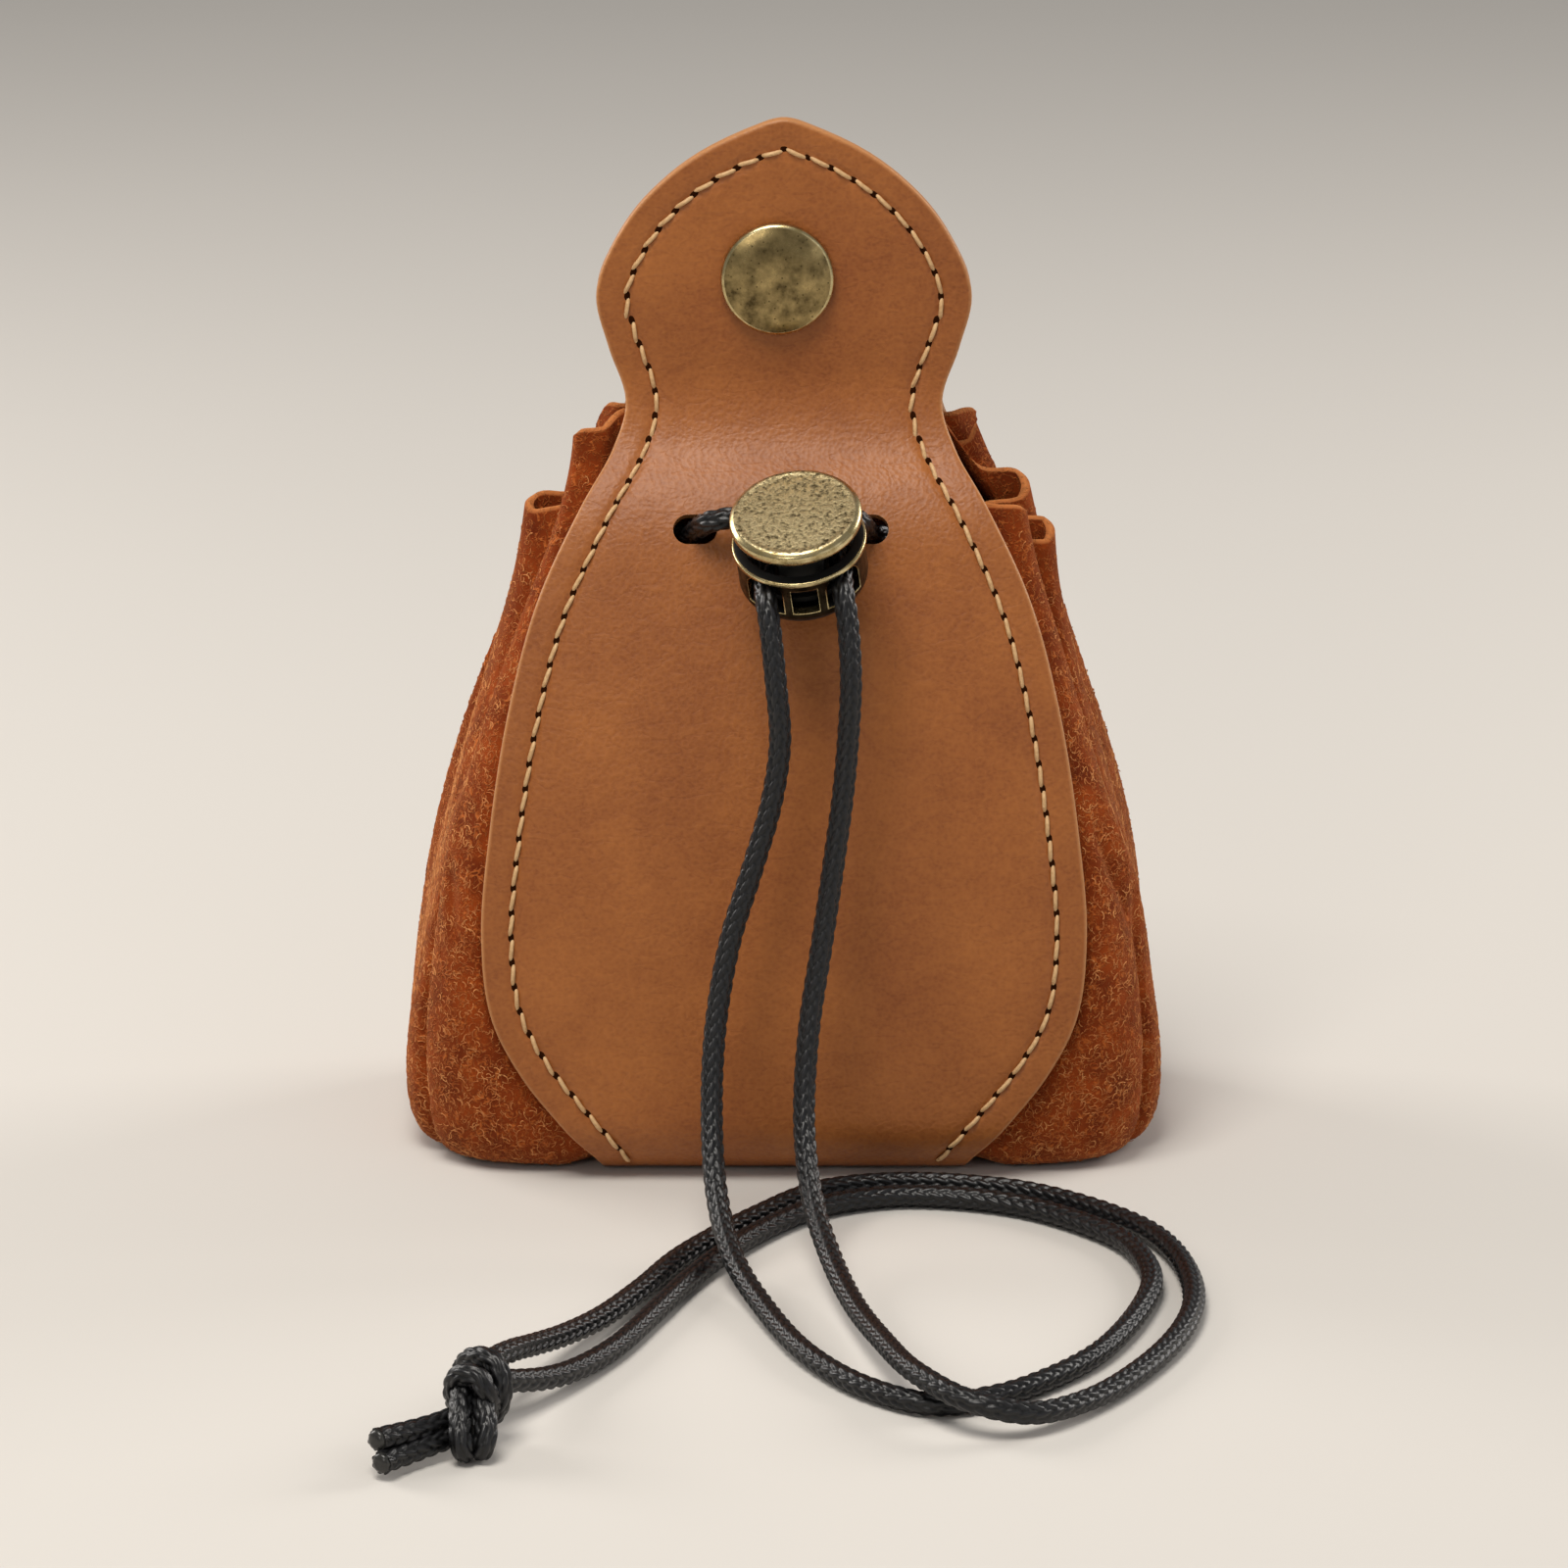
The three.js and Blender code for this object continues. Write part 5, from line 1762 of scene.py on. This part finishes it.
@dataclass
class Drawstring:
    """The braided drawstring: its loop through the mouth, two tails on the floor and their knot."""

    lock: CordLock
    radius: float = 1.5
    mouth: float = 6.75
    lead_out: float = 1.6
    tuck_in: float = 4.0
    step: float = 0.24
    sides: int = 48
    columns: int = 8
    pitch: float = 1.95
    slant: float = 0.8
    relief: float = 0.4
    leaf_wide: float = 0.62
    leaf_tall: float = 0.58
    leaf_round: float = 0.7
    cord_spacing: float = 1.0
    knot_spacing: float = 0.4
    knot_place: Place = (-37.0, -116.4, 7.0)
    knot_lean_deg: float = 17.0
    loop_route: Route = (
        (-9.6, -17.4, 87.9), (-10.8, -15.2, 86.7), (-11.5, -13.4, 85.7), (-12.3, -11.2, 84.45),
        (-14.0, -8.4, 83.6), (-16.4, -3.6, 83.4), (-16.2, 2.4, 83.4), (-11.5, 6.8, 83.4),
        (0, 7.8, 83.4), (11.5, 6.8, 83.4), (16.2, 2.4, 83.4), (16.2, -3.6, 83.4),
        (13.3, -8.4, 83.6), (11.5, -11.2, 84.45), (10.8, -13.4, 85.7), (10.5, -15.2, 86.7),
        (9.8, -17.4, 87.9),
    )
    left_route: Route = (
        (-1.8, -34.2, 78.4), (-1.0, -36.2, 71), (-0.5, -36.9, 64), (-1.6, -37.8, 56),
        (-4.2, -39.2, 47), (-7.0, -41.0, 38), (-8.9, -44.2, 27), (-9.3, -49.2, 16.2),
        (-8.6, -56.0, 8.8), (-6.6, -65.5, 4.2), (-2.8, -77.5, 2.1), (3.4, -94.5, 1.6),
        (10.6, -105.3, 1.6), (18.2, -110.2, 1.6), (25.9, -107.6, 1.6), (32.2, -102.2, 1.6),
        (39.0, -93.0, 1.6), (45.0, -77.5, 1.6), (46.8, -66.6, 1.6), (44.6, -55.2, 1.6),
        (40.2, -48.4, 1.6), (32.0, -41.0, 1.6), (23.1, -37.4, 1.6), (14.1, -36.8, 1.6),
        (5.1, -40.5, 1.6), (-3.8, -51.0, 1.6), (-11.9, -67.2, 1.6), (-16.5, -79.6, 1.6),
        (-20.9, -91.2, 1.7), (-25.4, -99.9, 2.2), (-28.9, -105.6, 3.2), (-32.4, -110.6, 4.8),
        (-35.2, -114.5, 6.4),
    )
    right_route: Route = (
        (8.2, -34.2, 78.9), (8.6, -36.2, 72), (8.3, -36.9, 65), (7.6, -37.8, 57),
        (6.4, -39.0, 48), (5.0, -40.9, 38.5), (3.2, -44.2, 27), (2.6, -49.2, 16.2),
        (3.6, -56.8, 8.9), (5.8, -67.0, 4.9), (8.6, -80.0, 3.4), (12.2, -95.0, 4.0),
        (16.4, -109.0, 5.0), (22.5, -116.8, 4.6), (29.6, -116.6, 3.0), (37.2, -109.4, 1.9),
        (44.2, -98.4, 1.6), (49.5, -86.0, 1.6), (51.8, -74.0, 1.6), (50.9, -60.6, 1.6),
        (47.6, -50.6, 1.6), (41.4, -42.4, 1.6), (32.2, -35.2, 1.6), (23.2, -32.2, 1.6),
        (14.2, -31.6, 1.6), (5.1, -34.4, 1.6), (-3.8, -44.6, 1.6), (-13.2, -59.3, 1.6),
        (-18.2, -71.4, 1.7), (-22.9, -82.4, 2.2), (-27.3, -91.6, 3.4), (-30.9, -99.6, 5.2),
        (-33.2, -105.6, 6.8), (-35.4, -110.8, 7.6), (-36.6, -114.2, 7.4),
    )
    # The last two strands of the knot are the tails with the cut ends
    knot_strands: tuple[Route, ...] = (
        ((-1.8, 1.5, -2.0), (-0.9, 2.6, -0.4), (0.3, 2.9, 0.8), (1.5, 2.7, 1.8), (2.5, 1.7, 2.4),
         (2.9, 0.0, 2.6), (2.8, -1.8, 2.2), (2.1, -3.5, 1.0), (1.2, -4.5, -0.5)),
        ((-2.3, -3.0, -0.5), (-2.6, -1.8, 1.2), (-2.7, -0.6, 2.2), (-2.3, 0.6, 3.2), (-1.1, 1.1, 4.2),
         (0.3, 0.6, 4.8), (1.1, -0.9, 4.8), (1.6, -2.0, 3.4), (1.8, -3.2, 1.4)),
        ((-1.6, -0.2, 2.2), (-1.8, -1.6, 4.0), (-1.85, -3.0, 5.6), (-1.85, -4.6, 6.9), (-1.75, -6.3, 7.8),
         (-1.5, -7.4, 7.8), (-1.2, -7.8, 7.0), (-0.9, -7.0, 5.4)),
        ((0.4, -1.2, 2.6), (0.7, -2.4, 4.4), (1.1, -3.6, 5.8), (1.25, -5.0, 6.6), (1.2, -6.3, 7.1),
         (0.9, -7.3, 7.1), (0.6, -7.7, 6.6), (0.3, -6.9, 5.2)),
        ((0.2, 1.6, -0.8), (0.0, 0.4, 1.4), (-0.2, -1.6, 2.4), (-0.3, -3.8, 4.2), (-0.4, -5.6, 5.6)),
        ((-1.8, -3.9, 1.0), (-3.0, -4.3, 3.0), (-5.1, -4.9, 5.4), (-7.9, -5.5, 7.8), (-10.4, -5.9, 10.2),
         (-11.6, -6.1, 11.6)),
        ((-2.1, -5.7, 3.4), (-3.3, -6.3, 4.6), (-5.4, -7.0, 6.6), (-8.2, -7.9, 9.0), (-10.0, -8.4, 11.0),
         (-11.0, -8.8, 12.4)),
    )

    def tree(self, sizes: dict[str, Any]) -> NodeTree:
        """Build the tree that braids a cord along a line.

        Leaf-shaped strands stand in columns round the cord. Neighbouring columns lean opposite ways and are
        set half a pitch apart, as the carriers of a round braid lay them.

        Args:
            sizes: The tree's named inputs and their values.

        Returns:
            The tree.
        """
        tree, size = new_tree("round_braid", sizes)
        add = partial(add_node, tree)
        store = partial(add, "GeometryNodeStoreNamedAttribute", data_type="FLOAT", domain="POINT")
        curve = add("GeometryNodeMeshToCurve", {"Mesh": size["Geometry"]})
        even = add("GeometryNodeResampleCurve", {"Curve": curve, "Length": size["Step"]}, mode="LENGTH")
        spot = add("GeometryNodeSplineParameter")
        line = store({"Geometry": even, "Name": "along", "Value": spot.outputs["Length"]})
        section = {"Resolution": size["Sides"], "Radius": size["Radius"]}
        circle = add("GeometryNodeCurvePrimitiveCircle", section)
        ring = store({"Geometry": circle, "Name": "around", "Value": spot})
        tube = add("GeometryNodeCurveToMesh", {"Curve": line, "Profile Curve": ring, "Fill Caps": True})
        value: dict[Any, Any] = dict(size)
        for name in ("along", "around"):
            value[name] = add("GeometryNodeInputNamedAttribute", {"Name": name}, data_type="FLOAT")
        # Each row names a value, how it is worked out, and what from
        rows: list[tuple] = [
            ("column", "MULTIPLY", "around", "Columns"),
            ("number", "FLOOR", "column"),
            ("odd", "MODULO", "number", 2.0),
            ("even", "SUBTRACT", 1.0, "odd"),
            ("place", "FRACT", "column"),
            ("turns", "DIVIDE", "along", "Pitch"),
        ]
        for leaf, shift, parity in (("own", -0.5, "odd"), ("left", 0.5, "even"), ("right", -1.5, "even")):
            rows += [
                ("across", "ADD", "place", shift),
                ("sense", "MULTIPLY_ADD", parity, 2.0, -1.0),
                ("lean", "MULTIPLY", "sense", "Slant"),
                ("rise", "MULTIPLY_ADD", "lean", "across", "turns"),
                ("phase", "MULTIPLY_ADD", parity, 0.5, "rise"),
                ("turn", "FRACT", "phase"),
                ("up", "SUBTRACT", "turn", 0.5),
                ("wide", "DIVIDE", "across", self.leaf_wide),
                ("tall", "DIVIDE", "up", self.leaf_tall),
                ("side", "MULTIPLY", "wide", "wide"),
                ("fall", "MULTIPLY_ADD", "tall", "tall", "side"),
                (leaf, "SUBTRACT", 1.0, "fall"),
            ]
        rows += [
            ("pair", "MAXIMUM", "own", "left"),
            ("top", "MAXIMUM", "pair", "right"),
            ("height", "MAXIMUM", "top", 0.0),
            ("crown", "POWER", "height", self.leaf_round),
            ("below", "SUBTRACT", "crown", 1.0),
            ("sink", "MULTIPLY", "below", "Relief"),
        ]
        for name, operation, *parts in rows:
            inputs = {number: value.get(part, part) for number, part in enumerate(parts)}
            value[name] = add(MATH, inputs, operation=operation)
        # The crown is kept for the material, which paints the grooves darker as painted shade
        marked = store({"Geometry": tube, "Name": "crown", "Value": value["crown"]})
        normal = add("GeometryNodeInputNormal")
        offset = add("ShaderNodeVectorMath", {0: normal, "Scale": value["sink"]}, operation="SCALE")
        braided = add("GeometryNodeSetPosition", {"Geometry": marked, "Offset": offset})
        return end_tree(tree, braided, size["Material"])

    def loop(self) -> Array:
        """Give the drawstring's way through the lock, the slots and the mouth.

        Returns:
            Points in millimetres.
        """
        through = [-self.tuck_in, 0, self.mouth, self.mouth + self.lead_out]
        left = [self.lock.on_cord(-1, depth) for depth in through]
        right = [self.lock.on_cord(1, depth) for depth in through[::-1]]
        return route_points(np.array([*left, *self.loop_route, *right], dtype=float), self.cord_spacing)

    def tail(self, side: int, route: Route) -> Array:
        """Give one tail's way from inside the lock to the knot.

        Args:
            side: 1 for the cord on the right of the lock, -1 for the left.
            route: Places that it passes.

        Returns:
            Points in millimetres.
        """
        leave = (-self.tuck_in, -self.mouth, -self.mouth - self.lead_out)
        start = [self.lock.on_cord(side, depth) for depth in leave]
        return route_points(np.array([*start, *route], dtype=float), self.cord_spacing)

    def strand(self, places: Route) -> Array:
        """Give the way of one strand of the knot.

        Args:
            places: Places to the right, up and out of the knot's middle.

        Returns:
            Points in millimetres.
        """
        lean = math.radians(self.knot_lean_deg)
        up = (0, math.sin(lean), math.cos(lean))
        out = (0, -math.cos(lean), math.sin(lean))
        axes = np.array([(1, 0, 0), up, out], dtype=float)
        return route_points(np.array(places) @ axes + np.array(self.knot_place), self.knot_spacing)

    def tips(self, melted: Material) -> list[Object]:
        """Fuse the two cut ends behind the knot into small domes.

        Args:
            melted: The material of the ends.

        Returns:
            The domes.
        """
        pieces = []
        wide, crown = self.radius - 0.25, 0.5 * self.radius
        dome = [(0, -0.6), (wide, -0.6), (wide, 0.15, 0.4), (crown, 0.5, 0.4), (0.1, 0.55), (0, 0.55)]
        for name, places in zip(("upper", "lower"), self.knot_strands[-2:]):
            line = self.strand(places)
            tip = turned(f"cord_tip_{name}", dome, sides=32)
            ahead = Vector(line[-1] - line[-3]).to_track_quat("Z", "Y").to_matrix().to_4x4()
            tip.data.transform(Matrix.Translation(line[-1] * MM) @ ahead)
            smooth(tip)
            coat(tip, melted)
            settle(tip, Body.BAG, Slot.CORD)
            pieces.append(tip)
        return pieces

    def build(self, material: Material, melted: Material) -> None:
        """Args:
            material: The cord's material.
            melted: The material of its fused ends.
        """
        sizes = {
            "Step": self.step * MM,
            "Radius": self.radius * MM,
            "Sides": self.sides,
            "Columns": float(self.columns),
            "Pitch": self.pitch * MM,
            "Slant": self.slant,
            "Relief": self.relief * MM,
            "Material": material,
        }
        tree = self.tree(sizes)

        def braid(name: str, lines: Sequence[Array], node: str) -> Object:
            """Braid a cord along each of a few lines and seat it.

            Args:
                name: The piece's name.
                lines: Lines of points in millimetres.
                node: The node of the frame that it stands for.

            Returns:
                The braided piece.
            """
            piece = make_lines(name, lines)
            grow(piece, tree, sizes)
            settle(piece, Body.BAG, Slot.CORD, node)
            return piece

        braid("drawstring_loop_braid", [self.loop()], "drawstring_loop")
        knot = braid("cord_knot_braid", [self.strand(places) for places in self.knot_strands], "cord_knot")
        tips = self.tips(melted)
        for name, side, route in (("left", -1, self.left_route), ("right", 1, self.right_route)):
            line = self.tail(side, route)
            tail = braid(f"cord_{name}_braid", [line], f"cord_{name}")
            log.info("cord_%s is %.0f mm long", name, length_of(line))


# Studio


class Lamp(NamedTuple):
    """A square soft light: its place and size in metres, its power in watts and its colour."""

    name: str
    place: Place
    size: float
    watts: float
    colour: str


@dataclass
class Studio:
    """A pale paper floor, soft lights and the camera at the photo's angle."""

    floor_size: float = 12.0
    air: str = "#E6E6E6"
    air_strength: float = 0.3
    elevation_deg: float = 17.0
    target: Place = (0.0, -14.0, 51.15)
    distance: float = 1000.0
    lens: float = 173.9
    sensor: float = 36.0
    lit: Place = (0, -0.02, 0.06)
    lamps: tuple[Lamp, ...] = table(
        Lamp,
        ("key", (-0.16, -0.34, 0.92), 0.45, 7.5, "#FFFAF3"),
        ("front", (-0.36, -0.95, 0.5), 0.25, 1.0, "#FFFAF3"),
        ("fill", (0.75, -0.8, 0.3), 0.8, 1.2, "#F8F9FF"),
        ("rim_left", (-0.62, 0.3, 0.36), 0.35, 3.0, "#FFFAF5"),
        ("rim_right", (0.62, 0.3, 0.36), 0.35, 2.6, "#FFFAF5"),
    )

    def build(self, paper: Material) -> None:
        """Lay the floor, hang the lights and set the camera.

        Args:
            paper: The floor's material.
        """
        half = self.floor_size / MM / 2
        corners = np.array([(-half, -half, 0), (half, -half, 0), (half, half, 0), (-half, half, 0)])
        floor = make_piece("studio_floor", corners, [(0, 1, 2, 3)])
        coat(floor, paper)
        for lamp in self.lamps:
            self.light(lamp)
        world = bpy.data.worlds.new("studio_air")
        world.use_nodes = True
        air = {"Color": linear(self.air), "Strength": self.air_strength}
        fill(world.node_tree, world.node_tree.nodes["Background"], air)
        bpy.context.scene.world = world
        bpy.context.scene.view_settings.view_transform = "Standard"
        self.camera()

    def light(self, lamp: Lamp) -> None:
        """Hang a lamp so that it faces the bag.

        Args:
            lamp: The lamp.
        """
        light = bpy.data.lights.new(lamp.name, "AREA")
        light.energy = lamp.watts
        light.size = lamp.size
        light.color = linear(lamp.colour)[:3]
        holder = bpy.data.objects.new(lamp.name, light)
        holder.location = lamp.place
        aim = Vector(self.lit) - Vector(lamp.place)
        holder.rotation_euler = aim.to_track_quat("-Z", "Y").to_euler()
        bpy.context.scene.collection.objects.link(holder)

    def camera(self) -> None:
        """Set the camera on the photo's line of sight."""
        lens = bpy.data.cameras.new("photo_view")
        lens.lens = self.lens
        lens.sensor_width = self.sensor
        holder = bpy.data.objects.new("photo_view", lens)
        angle = math.radians(self.elevation_deg)
        back = Vector((0, -math.cos(angle), math.sin(angle)))
        holder.location = (Vector(self.target) + back * self.distance) * MM
        holder.rotation_euler = (math.pi / 2 - angle, 0, 0)
        bpy.context.scene.collection.objects.link(holder)
        bpy.context.scene.camera = holder


def main() -> None:
    """Build the bag piece by piece."""
    logging.basicConfig(level=logging.INFO, format="%(name)s: %(message)s")
    Studio().build(PAPER.make())
    lock = CordLock()
    Drawstring(lock).build(BRAID.make(), MELTED.make())
    strap = Strap()
    snap = Snap(strap)
    strap.dress(strap.build(snap.frame()), LEATHER.make())
    stitching = Stitching(strap)
    stitching.dress(stitching.build(THREAD.make(), NEEDLE_HOLE_SHADE.make()))
    bag = SuedeBag(strap)
    bag.dress(bag.build(), SUEDE.make(), Nap().build(bag, NAP_FIBRE.make()))
    bright, lock_shade = BRIGHT_BRASS.make(), LOCK_SHADE.make()
    snap.dress(*snap.build(), SNAP_BRASS.make(), bright)
    lock.dress_button(lock.build_button(), LOCK_BRASS.make(), bright, lock_shade)
    lock.dress_barrel(lock.build_barrel(), DARK_BRASS.make(), bright, lock_shade)


if __name__ == "__main__":
    main()
